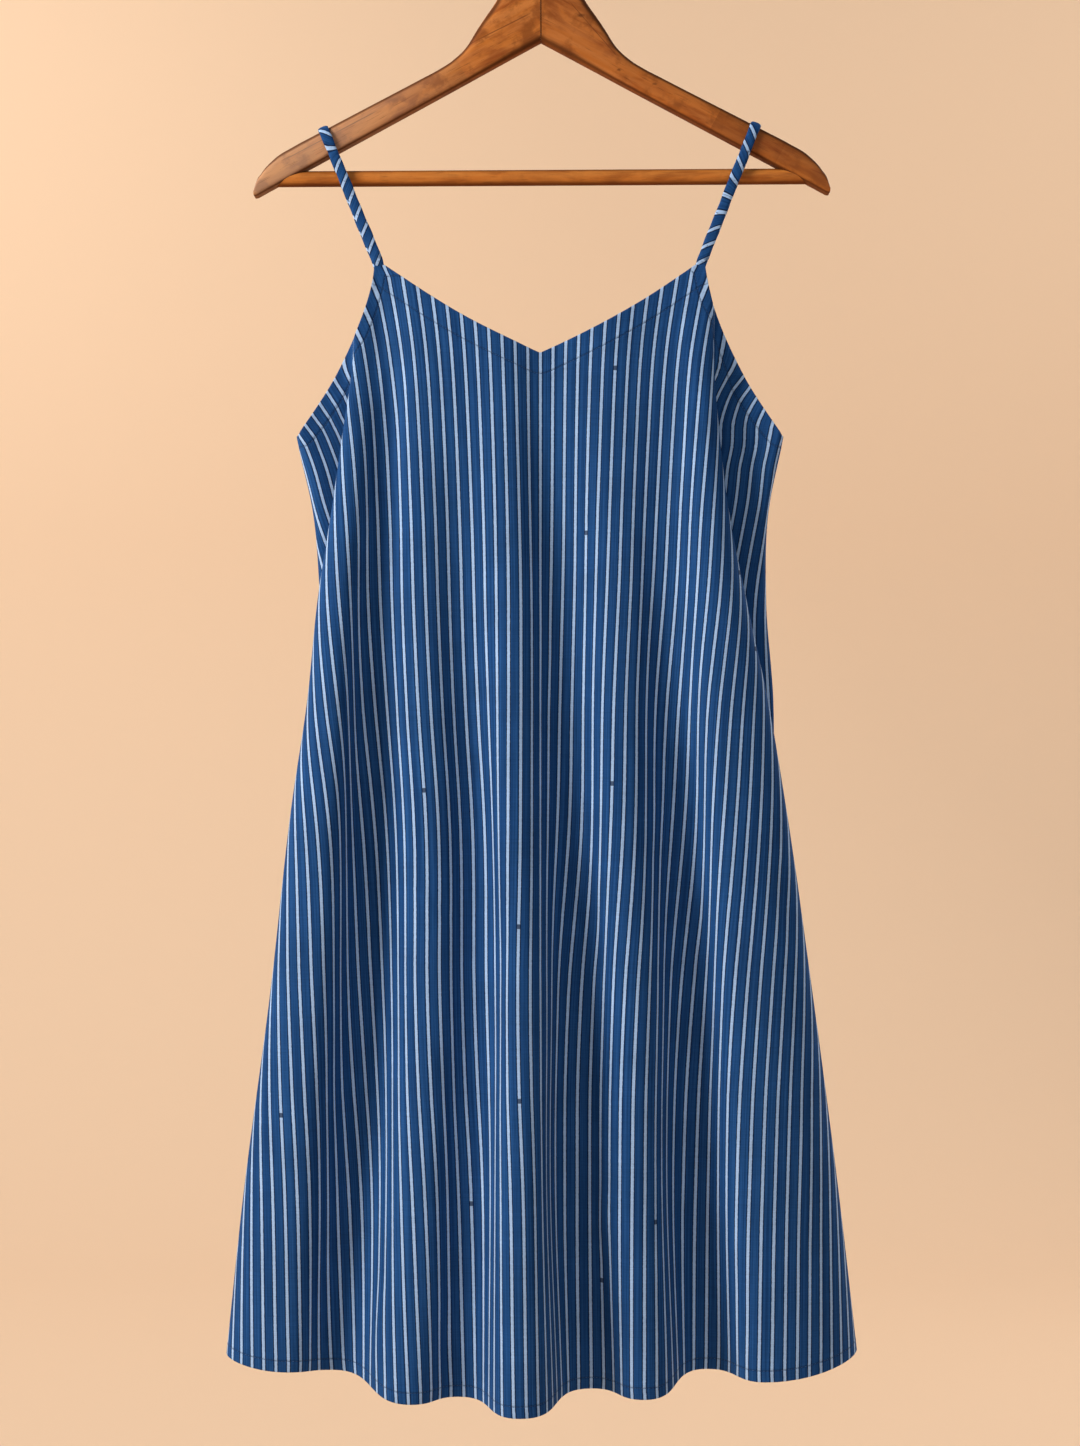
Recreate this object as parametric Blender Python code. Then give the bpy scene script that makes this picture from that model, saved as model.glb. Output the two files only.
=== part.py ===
"""An A-line camisole dress that hangs by its straps on a wooden hanger.

Every size below is in millimetres and is turned into metres when a mesh is made. X is the
wearer's left to right as seen from the front, the front faces -Y and +Z is up. The origin is
the top of the hook's inside, where it rests on a rail.
"""
import math
from collections import namedtuple

import bmesh
import bpy
import numpy as np

METRE = 1000.0

# The cloth
WALL = 1.5
SEAM_GAP = 0.3

# The neck and armholes of the front, and the top edge of the back
NECK_V_Z = -382.0
NECK_SAG = 4.6
STRAP_POINT_INNER_X = 119.0
STRAP_POINT_OUTER_X = 127.0
STRAP_POINT_Z = -314.0
UNDERARM_Z = -444.0
ARMHOLE_CURVE = 1.55
BACK_STRAP_X = 94.5
BACK_STRAP_Z = -387.0
BACK_STRAP_HALF_WIDTH = 4.3
BACK_NECK_DROP = 8.0
BACK_ARMHOLE_CURVE = 0.8

# The hanger, which hangs a little lower on the left
HANGER_TILT = 0.32
ARM_REACH = 222.0
ARM_HALF_THICKNESS = 7.0
ARM_TOP_ROUNDNESS = 2.6
ARM_UNDERSIDE_ROUNDNESS = 5.0
ARM_UNDERSIDE_Z = -140.0
ARM_SLOPE = 0.539
MITRE_GAP = 0.3
BAR_RADIUS = 6.0
BAR_Z = -244.5
BAR_CLEARANCE = 0.3
HOOK_INNER_RADIUS = 18.0
HOOK_WIRE_RADIUS = 1.8
HOOK_BEND_Z = -50.0
HOOK_FOOT_Z = -75.5
COLLAR_RADIUS = 5.0
COLLAR_HEIGHT = 3.0
COLLAR_SHOULDER = 0.8
HOOK_SWEEP_START = -60.0
HOOK_SWEEP_END = 200.0
HOOK_STEM_LEAN = 20.0

# The straps
STRAP_WIDTH = 8.0
STRAP_THICKNESS = 3.0
STRAP_CLEARANCE = 0.35
STRAP_ARM_X = {"left": 168.0, "right": 165.0}
STRAP_FRONT_X = 123.0
STRAP_FRONT_Y = -10.6
STRAP_BACK_Y = 8.0

# The mesh: columns between neighbouring fold lines, and rows from a top edge to the hem
COLUMNS_BESIDE_SEAM = 2
COLUMNS_AT_SIDE = 4
COLUMNS_IN_FLUTE = 5
ROWS = 18

# Heights at which the folds below are stated: neck, chest, underarm, under the bust, waist, high hip,
# hip, thigh, knee and hem
LEVELS = np.array([-315.0, -380.0, -450.0, -500.0, -572.0, -650.0, -724.0, -874.0, -1023.0, -1150.0])
UNDERARM_LEVEL = 2

# A fold line runs down the cloth. x and y are its places at those heights and hem is the height of its
# foot. A crest or a trough runs straight across the lines beside it there, a turn is where the cloth
# doubles back under itself, and a plain line is passed through smoothly.
Fold = namedtuple("Fold", "name kind hem x y")

FRONT_FOLDS = [
    Fold(
        "side_left", "plain", -1148,
        x=(-194, -194, -183, -172, -167, -167, -169, -189, -211, -230),
        y=(-5, -5, -5, -4, -2, 1, 4, 5, 7, 8),
    ),
    Fold(
        "tuck_left", "turn", -1147,
        x=(-146, -146, -135, -135, -140, -157, -177, -199, -220, -236),
        y=(-8, -8, -9, -9, -8, -5, -3, -5, -3, -1),
    ),
    Fold(
        "edge_left", "turn", -1147,
        x=(-143, -143, -152, -159, -170, -178, -189, -206, -226, -240),
        y=(-10, -12, -16, -17, -18, -19, -20, -22, -21, -17),
    ),
    Fold(
        "crest_1", "crest", -1154,
        x=(-133, -139, -143, -146, -153, -157, -162, -172, -183, -190),
        y=(-12, -14, -22, -27, -32, -36, -39, -43, -45, -45),
    ),
    Fold(
        "trough_1", "trough", -1158,
        x=(-121, -119, -117, -119, -126, -129, -131, -134, -144, -157),
        y=(-11, -11, -12, -13, -13, -12, -10, -12, -18, -24),
    ),
    Fold(
        "crest_2", "crest", -1172,
        x=(-96, -93, -92, -91, -90, -88, -85, -83, -89, -95),
        y=(-13, -17, -21, -23, -25, -28, -31, -45, -56, -64),
    ),
    Fold(
        "trough_2", "trough", -1172,
        x=(-69, -65, -63, -61, -58, -54, -50, -47, -53, -60),
        y=(-14, -17, -19, -18, -17, -17, -18, -32, -41, -45),
    ),
    Fold(
        "crest_3", "crest", -1176,
        x=(-31, -29, -27, -25, -21, -20, -20, -14, -16, -15),
        y=(-15, -19, -23, -25, -28, -33, -40, -61, -75, -84),
    ),
    Fold(
        "trough_3", "trough", -1170,
        x=(6, 5, 8, 11, 15, 19, 23, 28, 28, 38),
        y=(-13, -15, -14, -12, -10, -11, -14, -22, -27, -31),
    ),
    Fold(
        "crest_4", "crest", -1171,
        x=(50, 50, 52, 55, 61, 62, 62, 71, 72, 77),
        y=(-14, -18, -21, -23, -26, -30, -35, -44, -51, -56),
    ),
    Fold(
        "trough_4", "trough", -1160,
        x=(98, 98, 98, 97, 95, 101, 108, 115, 117, 127),
        y=(-12, -14, -17, -17, -16, -13, -10, -11, -13, -15),
    ),
    Fold(
        "crest_5", "crest", -1162,
        x=(120, 124, 125, 129, 135, 139, 142, 152, 160, 169),
        y=(-12, -17, -24, -29, -33, -34, -34, -36, -40, -43),
    ),
    Fold(
        "edge_right", "turn", -1149,
        x=(133, 133, 138, 144, 158, 175, 188, 210, 230, 245),
        y=(-11, -12, -15, -16, -16, -14, -10, -5, -1, 2),
    ),
    Fold(
        "tuck_right", "turn", -1149,
        x=(138, 137, 121, 127, 139, 163, 186, 209, 228, 242),
        y=(-8, -8, -9, -9, -8, -5, 3, 8, 12, 14),
    ),
    Fold(
        "side_right", "plain", -1151,
        x=(195, 195, 184, 174, 172, 180, 183, 200, 220, 236),
        y=(-5, -5, -5, -4, -2, 2, 9, 13, 17, 19),
    ),
]
BACK_FOLDS = [
    Fold(
        "side_left", "plain", -1149,
        x=(-194, -194, -184, -173, -165, -160, -158, -172, -193, -212),
        y=(7, 7, 7, 7, 9, 12, 15, 22, 24, 25),
    ),
    Fold(
        "crest_1", "crest", -1155,
        x=(-150, -150, -150, -148, -146, -145, -146, -154, -170, -184),
        y=(9, 9, 11, 13, 16, 20, 24, 34, 40, 43),
    ),
    Fold(
        "trough_1", "trough", -1157,
        x=(-118, -118, -118, -117, -116, -116, -116, -122, -133, -143),
        y=(8, 8, 9, 10, 11, 11, 12, 16, 19, 22),
    ),
    Fold(
        "crest_2", "crest", -1166,
        x=(-84, -84, -84, -83, -82, -83, -84, -90, -98, -104),
        y=(9, 9, 12, 15, 18, 23, 28, 42, 50, 56),
    ),
    Fold(
        "trough_2", "trough", -1167,
        x=(-46, -46, -46, -46, -46, -48, -50, -54, -58, -62),
        y=(9, 9, 10, 11, 12, 13, 14, 20, 25, 29),
    ),
    Fold(
        "crest_3", "crest", -1171,
        x=(-8, -8, -8, -8, -8, -9, -10, -12, -14, -14),
        y=(9, 9, 13, 16, 20, 26, 32, 46, 55, 61),
    ),
    Fold(
        "trough_3", "trough", -1168,
        x=(32, 32, 32, 33, 34, 35, 36, 36, 34, 32),
        y=(9, 9, 10, 11, 12, 13, 15, 19, 23, 26),
    ),
    Fold(
        "crest_4", "crest", -1168,
        x=(70, 70, 70, 71, 72, 74, 76, 78, 82, 84),
        y=(9, 9, 12, 14, 17, 22, 27, 40, 49, 55),
    ),
    Fold(
        "trough_4", "trough", -1162,
        x=(106, 106, 106, 106, 106, 107, 108, 114, 120, 126),
        y=(8, 8, 9, 9, 10, 11, 13, 17, 20, 24),
    ),
    Fold(
        "crest_5", "crest", -1158,
        x=(146, 146, 146, 144, 142, 143, 146, 154, 170, 184),
        y=(9, 9, 11, 13, 16, 19, 23, 33, 38, 42),
    ),
    Fold(
        "side_right", "plain", -1152,
        x=(195, 195, 184, 175, 169, 166, 164, 182, 203, 220),
        y=(7, 7, 7, 7, 9, 13, 17, 25, 29, 32),
    ),
]
SEAM_LEFT = Fold(
    "seam_left", "plain", -1148,
    x=(-197, -197, -187, -176, -170, -165, -163, -179, -201, -220),
    y=(1, 1, 1, 2, 4, 7, 9, 13, 14, 14),
)
SEAM_RIGHT = Fold(
    "seam_right", "plain", -1151,
    x=(199, 199, 187, 177, 175, 180, 175, 188, 210, 227),
    y=(1, 1, 1, 2, 4, 8, 13, 18, 21, 23),
)

# How far a curve leans along its direction at a line, as a share of the span beside it
REACH = {"crest": 1.4, "trough": 1.4, "turn": 0.8, "plain": 1.0}
PLAIN_REACH_LIMIT = 2.5
FULL_TUCK = 8.0

# The outline of the left arm's top, from the mitre to the tip, as x and z
ARM_TOP = [
    (0, -76), (8, -77), (16, -81), (23, -89), (29, -99), (36, -111), (43, -121), (49, -130), (57, -143),
    (67, -153), (80, -161.5), (174, -210.5), (191, -219.5), (206, -229), (216, -240), (220.5, -248), (222, -254),
]
ARM_TIP_ROUNDING = 4.0

# The dome at the hook's tip, as distance past the end of the crook and share of the wire's radius
HOOK_TIP_DOME = [(0.7, 0.92), (1.3, 0.7), (1.7, 0.35)]


def smooth_in_height(values, heights):
    """Cubic curves through the levels of a table, one for each row of values."""
    values = np.asarray(values, dtype=float)
    steps = np.diff(LEVELS)
    slopes = np.diff(values, axis=-1) / steps
    at_level = np.empty_like(values)
    at_level[..., 0] = slopes[..., 0]
    at_level[..., -1] = slopes[..., -1]
    at_level[..., 1:-1] = (slopes[..., :-1] * steps[1:] + slopes[..., 1:] * steps[:-1]) / (steps[1:] + steps[:-1])
    heights = np.asarray(heights, dtype=float)
    inside = np.clip(heights, LEVELS[-1], LEVELS[0])
    index = np.clip(np.searchsorted(-LEVELS, -inside, side="right") - 1, 0, len(steps) - 1)
    step = steps[index]
    p = (inside - LEVELS[index]) / step
    start, end = values[..., index], values[..., index + 1]
    start_slope, end_slope = at_level[..., index], at_level[..., index + 1]
    curve = (2 * p**3 - 3 * p**2 + 1) * start + (p**3 - 2 * p**2 + p) * step * start_slope
    curve += (3 * p**2 - 2 * p**3) * end + (p**3 - p**2) * step * end_slope
    end_line = np.where(heights < LEVELS[-1], 1.0, 0.0) * (heights - LEVELS[-1])
    return curve + end_line * at_level[..., -1:]


def unit(vectors):
    """Vectors of length one along the last axis."""
    return vectors / np.maximum(np.linalg.norm(vectors, axis=-1, keepdims=True), 1e-9)


# The ring of fold lines: the left seam, the front from left to right, the right seam and the back
RING = [SEAM_LEFT] + FRONT_FOLDS + [SEAM_RIGHT] + BACK_FOLDS[::-1]
FRONT_START = 0
FRONT_END = len(FRONT_FOLDS) + 1
BACK_END = len(RING)
RING_X = np.array([fold.x for fold in RING])
RING_Y = np.array([fold.y for fold in RING])


def ring_at(heights):
    """Places, directions and reaches of every fold line at each height."""
    places = np.stack([smooth_in_height(RING_X, heights), smooth_in_height(RING_Y, heights)], axis=-1)
    ahead = np.roll(places, -1, axis=0) - places
    behind = np.roll(ahead, 1, axis=0)
    length_ahead = np.linalg.norm(ahead, axis=-1)
    length_behind = np.linalg.norm(behind, axis=-1)
    directions = unit(unit(ahead) + unit(behind))
    reach_ahead = np.empty_like(length_ahead)
    reach_behind = np.empty_like(length_ahead)
    for index, fold in enumerate(RING):
        across = 1.0 if index <= FRONT_END else -1.0
        share = REACH[fold.kind]
        if fold.kind in ("crest", "trough"):
            directions[index] = (across, 0.0)
        reach_ahead[index] = share * length_ahead[index]
        reach_behind[index] = share * length_behind[index]
        if fold.kind == "plain":
            limit = PLAIN_REACH_LIMIT * np.minimum(length_ahead[index], length_behind[index])
            reach_ahead[index] = np.minimum(reach_ahead[index], limit)
            reach_behind[index] = np.minimum(reach_behind[index], limit)
    turn_direction(directions, places, 2, 3, -1.0)
    turn_direction(directions, places, FRONT_END - 2, FRONT_END - 3, 1.0)
    return places, directions, reach_ahead, reach_behind


def turn_direction(directions, places, tuck, edge, depthwise):
    """Point a tuck and its edge straight in depth where the cloth doubles back."""
    overlap = (places[tuck, :, 0] - places[edge, :, 0]) * (-depthwise)
    share = np.clip(overlap / FULL_TUCK, 0.0, 1.0)[:, None]
    straight = np.array([0.0, depthwise])
    directions[tuck] = unit(share * straight + (1.0 - share) * directions[tuck])
    directions[edge] = straight


def cloth_point(place, heights):
    """X and Y of the cloth's outer face at a place along the ring of folds, at each height."""
    spots, directions, reach_ahead, reach_behind = ring_at(heights)
    first = int(math.floor(place)) % len(RING)
    second = (first + 1) % len(RING)
    p = place - math.floor(place)
    leave = directions[first] * reach_ahead[first][:, None]
    arrive = directions[second] * reach_behind[second][:, None]
    curve = (2 * p**3 - 3 * p**2 + 1) * spots[first] + (p**3 - 2 * p**2 + p) * leave
    return curve + (3 * p**2 - 2 * p**3) * spots[second] + (p**3 - p**2) * arrive


def front_top(x):
    """Height of the front's top edge: V neck, strap points and armholes."""
    away = abs(x)
    if away < STRAP_POINT_INNER_X:
        share = away / STRAP_POINT_INNER_X
        return NECK_V_Z + (STRAP_POINT_Z - NECK_V_Z) * share - NECK_SAG * math.sin(math.pi * share)
    if away < STRAP_POINT_OUTER_X:
        return STRAP_POINT_Z
    underarm_x = abs(SEAM_LEFT.x[UNDERARM_LEVEL] if x < 0 else SEAM_RIGHT.x[UNDERARM_LEVEL])
    share = min((away - STRAP_POINT_OUTER_X) / (underarm_x - STRAP_POINT_OUTER_X), 1.0)
    return STRAP_POINT_Z + (UNDERARM_Z - STRAP_POINT_Z) * share ** (1.0 / ARMHOLE_CURVE)


def back_top(x):
    """Height of the back's top edge: a shallow neck between the straps and the armholes."""
    away = abs(x)
    inner = BACK_STRAP_X - BACK_STRAP_HALF_WIDTH
    outer = BACK_STRAP_X + BACK_STRAP_HALF_WIDTH
    if away < inner:
        return BACK_STRAP_Z - BACK_NECK_DROP * (1.0 - (away / inner) ** 2)
    if away < outer:
        return BACK_STRAP_Z
    underarm_x = abs(SEAM_LEFT.x[UNDERARM_LEVEL] if x < 0 else SEAM_RIGHT.x[UNDERARM_LEVEL])
    share = min(max(underarm_x - away, 0.0) / (underarm_x - outer), 1.0)
    return UNDERARM_Z + (BACK_STRAP_Z - UNDERARM_Z) * share**BACK_ARMHOLE_CURVE


def hem_height(place):
    """Height of the hem at a place along the ring, easing between the fold lines' feet."""
    first = int(math.floor(place)) % len(RING)
    second = (first + 1) % len(RING)
    p = place - math.floor(place)
    ease = 3 * p**2 - 2 * p**3
    return RING[first].hem * (1.0 - ease) + RING[second].hem * ease


def top_height(place, edge):
    """Height where a column of the cloth meets its top edge."""
    height = UNDERARM_Z
    for _ in range(40):
        x = cloth_point(place, np.array([height]))[0, 0]
        height += 0.6 * (edge(x) - height)
    return height


def column_places(start, end):
    """Places between two seams, closer together where the cloth flutes."""
    places = [float(start)]
    for span in range(start, end):
        kinds = (RING[span].kind, RING[(span + 1) % len(RING)].kind)
        count = COLUMNS_IN_FLUTE
        if "turn" in kinds or "plain" in kinds:
            count = COLUMNS_AT_SIDE
        if kinds == ("plain", "plain"):
            count = COLUMNS_BESIDE_SEAM
        places += [span + (index + 1) / count for index in range(count)]
    return places


def make_material(name, colour, roughness, metallic=0.0):
    """A plain surface of one colour."""
    material = bpy.data.materials.new(name)
    material.use_nodes = True
    surface = material.node_tree.nodes["Principled BSDF"]
    surface.inputs["Base Color"].default_value = (*colour, 1.0)
    surface.inputs["Roughness"].default_value = roughness
    surface.inputs["Metallic"].default_value = metallic
    material.diffuse_color = (*colour, 1.0)
    return material


def hanger_tilt(points):
    """Points of a level hanger, turned about the hook's rest point to how it hangs."""
    c, s = math.cos(math.radians(HANGER_TILT)), math.sin(math.radians(HANGER_TILT))
    turn = np.array([[c, 0.0, -s], [0.0, 1.0, 0.0], [s, 0.0, c]])
    return np.asarray(points, dtype=float) @ turn.T


def make_object(name, points, faces, material, smooth_angle=50.0):
    """A mesh object from points in millimetres, with its faces turned outward."""
    mesh = bpy.data.meshes.new(name)
    mesh.from_pydata([tuple(float(value) / METRE for value in point) for point in points], [], faces)
    shape = bmesh.new()
    shape.from_mesh(mesh)
    bmesh.ops.recalc_face_normals(shape, faces=shape.faces)
    shape.to_mesh(mesh)
    shape.free()
    mesh.shade_smooth()
    mesh.set_sharp_from_angle(angle=math.radians(smooth_angle))
    mesh.materials.append(material)
    item = bpy.data.objects.new(name, mesh)
    bpy.context.collection.objects.link(item)
    return item


def grid_normals(outer):
    """Outward normals of a grid of points whose columns run across and rows run down."""
    across = np.gradient(outer, axis=0)
    down = np.gradient(outer, axis=1)
    return unit(np.cross(down, across))


def seam_frame(place, heights):
    """Directions along the ring and out of the cloth at a seam, the same for both panels there."""
    step = 0.25
    along = unit(cloth_point(place + step, heights) - cloth_point(place - step, heights))
    return along, np.stack([along[:, 1], -along[:, 0], np.zeros(len(heights))], axis=-1)


def make_panel(name, start, end, edge, material):
    """A cloth wall between two seams, from its top edge to its hem."""
    places = column_places(start, end)
    outer = np.empty((len(places), ROWS + 1, 3))
    for index, place in enumerate(places):
        heights = np.linspace(top_height(place, edge), hem_height(place), ROWS + 1)
        outer[index, :, :2] = cloth_point(place, heights)
        outer[index, :, 2] = heights
    normals = grid_normals(outer)
    for column, inward in ((0, 1.0), (-1, -1.0)):
        along, normals[column] = seam_frame(places[column], outer[column, :, 2])
        outer[column, :, :2] += inward * along * SEAM_GAP / 2
    inner = outer - WALL * normals
    count = len(places) * (ROWS + 1)
    points = np.concatenate([outer.reshape(-1, 3), inner.reshape(-1, 3)])

    def at(column, row, layer):
        return layer * count + column * (ROWS + 1) + row

    faces = []
    last = len(places) - 1
    for column in range(last):
        for row in range(ROWS):
            corners = [(column, row), (column + 1, row), (column + 1, row + 1), (column, row + 1)]
            faces.append([at(*corner, 0) for corner in corners])
            faces.append([at(*corner, 1) for corner in reversed(corners)])
        for row in (0, ROWS):
            faces.append([at(column, row, 0), at(column, row, 1), at(column + 1, row, 1), at(column + 1, row, 0)])
    for row in range(ROWS):
        for column in (0, last):
            faces.append([at(column, row, 0), at(column, row, 1), at(column, row + 1, 1), at(column, row + 1, 0)])
    return make_object(name, points, faces, material)


def make_sweep(name, rings, material):
    """A closed tube through rings of equal numbers of points."""
    sides = len(rings[0])
    points = np.concatenate(rings)
    faces = []
    for ring in range(len(rings) - 1):
        for side in range(sides):
            after = (side + 1) % sides
            low, high = ring * sides, (ring + 1) * sides
            faces.append([low + side, low + after, high + after, high + side])
    faces.append(list(range(sides)))
    faces.append(list(range(len(points) - sides, len(points))))
    return make_object(name, points, faces, material)


def arm_top(x):
    """Height of an arm's top edge at a distance from the mitre."""
    xs, zs = zip(*ARM_TOP)
    return float(np.interp(abs(x), xs, zs))


def arm_bottom(x):
    """Height of an arm's underside, rounded up at the tip."""
    away = abs(x)
    from_tip = max(ARM_TIP_ROUNDING - (ARM_REACH - away), 0.0)
    lift = ARM_TIP_ROUNDING - math.sqrt(max(ARM_TIP_ROUNDING**2 - from_tip**2, 0.0))
    return ARM_UNDERSIDE_Z - ARM_SLOPE * away + 0.6 * lift


def arm_ring(x, side, count=16):
    """One upright section of an arm, a pillowed rectangle."""
    high, low = arm_top(x), arm_bottom(x)
    middle, half = (high + low) / 2, (high - low) / 2
    ring = []
    for index in range(count):
        angle = 2 * math.pi * (index + 0.5) / count
        c, s = math.cos(angle), math.sin(angle)
        roundness = ARM_TOP_ROUNDNESS if s > 0 else ARM_UNDERSIDE_ROUNDNESS
        y = ARM_HALF_THICKNESS * math.copysign(abs(c) ** (2 / roundness), c)
        z = middle + half * math.copysign(abs(s) ** (2 / roundness), s)
        ring.append((side * x, y, z))
    return ring


def make_arm(name, side, material):
    """One wooden arm, from the mitre to its rounded tip."""
    stations = [MITRE_GAP / 2] + [x for x, _ in ARM_TOP[1:11]]
    stations += list(np.linspace(ARM_TOP[10][0], ARM_TOP[11][0], 6))[1:]
    stations += [x for x, _ in ARM_TOP[12:]]
    return make_sweep(name, [hanger_tilt(arm_ring(x, side)) for x in stations], material)


def bar_end(y, z):
    """Distance from the middle at which a line along the bar meets an arm's underside."""
    near, far = ARM_REACH / 2, ARM_REACH
    for _ in range(40):
        x = (near + far) / 2
        high, low = arm_top(x), arm_bottom(x)
        middle, half = (high + low) / 2, (high - low) / 2
        share = (abs(y) / ARM_HALF_THICKNESS) ** ARM_UNDERSIDE_ROUNDNESS
        flat = (1 - share) ** (1 / ARM_UNDERSIDE_ROUNDNESS)
        if z > middle - half * flat - BAR_CLEARANCE:
            far = x
        else:
            near = x
    return near - BAR_CLEARANCE


def make_bar(name, material, count=16):
    """The round bar, its ends hollowed to fit the arms' undersides."""
    rings = []
    shares = (0.1, 0.4, 0.7, 1.0)
    for side, share in [(-1.0, share) for share in shares] + [(1.0, share) for share in reversed(shares)]:
        ring = []
        for index in range(count):
            angle = 2 * math.pi * index / count
            y = share * BAR_RADIUS * math.cos(angle)
            z = BAR_Z + share * BAR_RADIUS * math.sin(angle)
            ring.append((side * bar_end(y, z), y, z))
        rings.append(hanger_tilt(ring))
    return make_sweep(name, rings, material)


def make_hook(name, material, sides=10):
    """The wire hook: a collar, a stem and a round crook that ends in a domed tip."""
    radius = HOOK_INNER_RADIUS + HOOK_WIRE_RADIUS
    centre_z = -HOOK_INNER_RADIUS
    wire = HOOK_WIRE_RADIUS
    route = [(0.0, HOOK_FOOT_Z, COLLAR_RADIUS), (0.0, HOOK_FOOT_Z + COLLAR_HEIGHT, COLLAR_RADIUS)]
    shoulder = HOOK_FOOT_Z + COLLAR_HEIGHT + COLLAR_SHOULDER
    route += [(0.0, shoulder, wire), (0.0, (shoulder + HOOK_BEND_Z) / 2, wire)]
    join = math.radians(HOOK_SWEEP_START)
    start = np.array([0.0, HOOK_BEND_Z])
    end = np.array([radius * math.cos(join), centre_z + radius * math.sin(join)])
    leave = HOOK_STEM_LEAN * np.array([0.0, 1.0])
    arrive = HOOK_STEM_LEAN * np.array([-math.sin(join), math.cos(join)])
    for p in np.linspace(0.0, 1.0, 9)[:-1]:
        spot = (2 * p**3 - 3 * p**2 + 1) * start + (p**3 - 2 * p**2 + p) * leave
        spot = spot + (3 * p**2 - 2 * p**3) * end + (p**3 - p**2) * arrive
        route.append((spot[0], spot[1], wire))
    for angle in np.radians(np.linspace(HOOK_SWEEP_START, HOOK_SWEEP_END, 27)):
        route.append((radius * math.cos(angle), centre_z + radius * math.sin(angle), wire))
    last = math.radians(HOOK_SWEEP_END)
    for past, share in HOOK_TIP_DOME:
        angle = last + past / radius
        route.append((radius * math.cos(angle), centre_z + radius * math.sin(angle), wire * share))
    path = np.array([(x, z) for x, z, _ in route])
    along = unit(np.gradient(path, axis=0))
    rings = []
    for (x, z, size), (dx, dz) in zip(route, along):
        ring = []
        for index in range(sides):
            angle = 2 * math.pi * index / sides
            sideways = size * math.cos(angle)
            ring.append((x - dz * sideways, size * math.sin(angle), z + dx * sideways))
        rings.append(hanger_tilt(ring))
    return make_sweep(name, rings, material)


def strap_ring(centre, along, normal, level_end, sides=10):
    """One section of a strap, a flat oval, sheared level where it meets a panel's edge."""
    wide = unit(np.cross(normal, along))
    ring = []
    for index in range(sides):
        angle = 2 * math.pi * index / sides
        a = STRAP_WIDTH / 2 * math.cos(angle)
        b = STRAP_THICKNESS / 2 * math.sin(angle)
        point = centre + a * wide + b * normal
        if level_end:
            point = point - along * (point[2] - centre[2]) / along[2]
        ring.append(point)
    return ring


def make_strap(name, side, arm_x, material):
    """A narrow strap from the front's point, over an arm and down to the back's top edge."""
    slope = (arm_top(arm_x + 5) - arm_top(arm_x - 5)) / 10
    square = unit(hanger_tilt((-side * slope, 0.0, 1.0)))
    crest = hanger_tilt((side * arm_x, 0.0, arm_top(arm_x)))
    front = np.array([side * STRAP_FRONT_X, STRAP_FRONT_Y, STRAP_POINT_Z + SEAM_GAP])
    back = np.array([side * BACK_STRAP_X, STRAP_BACK_Y, BACK_STRAP_Z + SEAM_GAP])
    backward = np.array([0.0, 1.0, 0.0])
    upward = unit((crest - front) * np.array([1.0, 0.0, 1.0]))
    pivot = crest - upward * ARM_HALF_THICKNESS / float(np.dot(upward, square))
    turn_radius = ARM_HALF_THICKNESS + STRAP_CLEARANCE + STRAP_THICKNESS / 2
    front_high = pivot - turn_radius * backward
    back_high = pivot + turn_radius * backward
    route = [front + (front_high - front) * p for p in np.linspace(0.0, 1.0, 7)[:-1]]
    for angle in np.linspace(0.0, math.pi, 9):
        route.append(pivot + turn_radius * (math.sin(angle) * upward - math.cos(angle) * backward))
    route += [back_high + (back - back_high) * p for p in np.linspace(0.0, 1.0, 10)[1:]]
    path = np.array(route)
    along = unit(np.gradient(path, axis=0))
    wide = unit(np.cross(upward, backward))
    rings = []
    for index, centre in enumerate(path):
        normal = unit(np.cross(along[index], wide))
        rings.append(strap_ring(centre, along[index], normal, index in (0, len(path) - 1)))
    return make_sweep(name, rings, material)


for leftover in list(bpy.data.objects):
    bpy.data.objects.remove(leftover, do_unlink=True)

striped_cloth = make_material("striped_cloth", (0.03, 0.10, 0.30), 0.85)
strap_cloth = make_material("strap_cloth", (0.03, 0.10, 0.30), 0.85)
varnished_wood = make_material("varnished_wood", (0.36, 0.13, 0.05), 0.35)
bright_steel = make_material("bright_steel", (0.62, 0.62, 0.60), 0.25, 1.0)

make_panel("front_panel", FRONT_START, FRONT_END, front_top, striped_cloth)
make_panel("back_panel", FRONT_END, BACK_END, back_top, striped_cloth)
for side_name, side_sign in (("left", -1.0), ("right", 1.0)):
    make_strap("strap_" + side_name, side_sign, STRAP_ARM_X[side_name], strap_cloth)
    make_arm("hanger_arm_" + side_name, side_sign, varnished_wood)
make_bar("trouser_bar", varnished_wood)
make_hook("hook", bright_steel)
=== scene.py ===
import math
from collections import namedtuple

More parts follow.
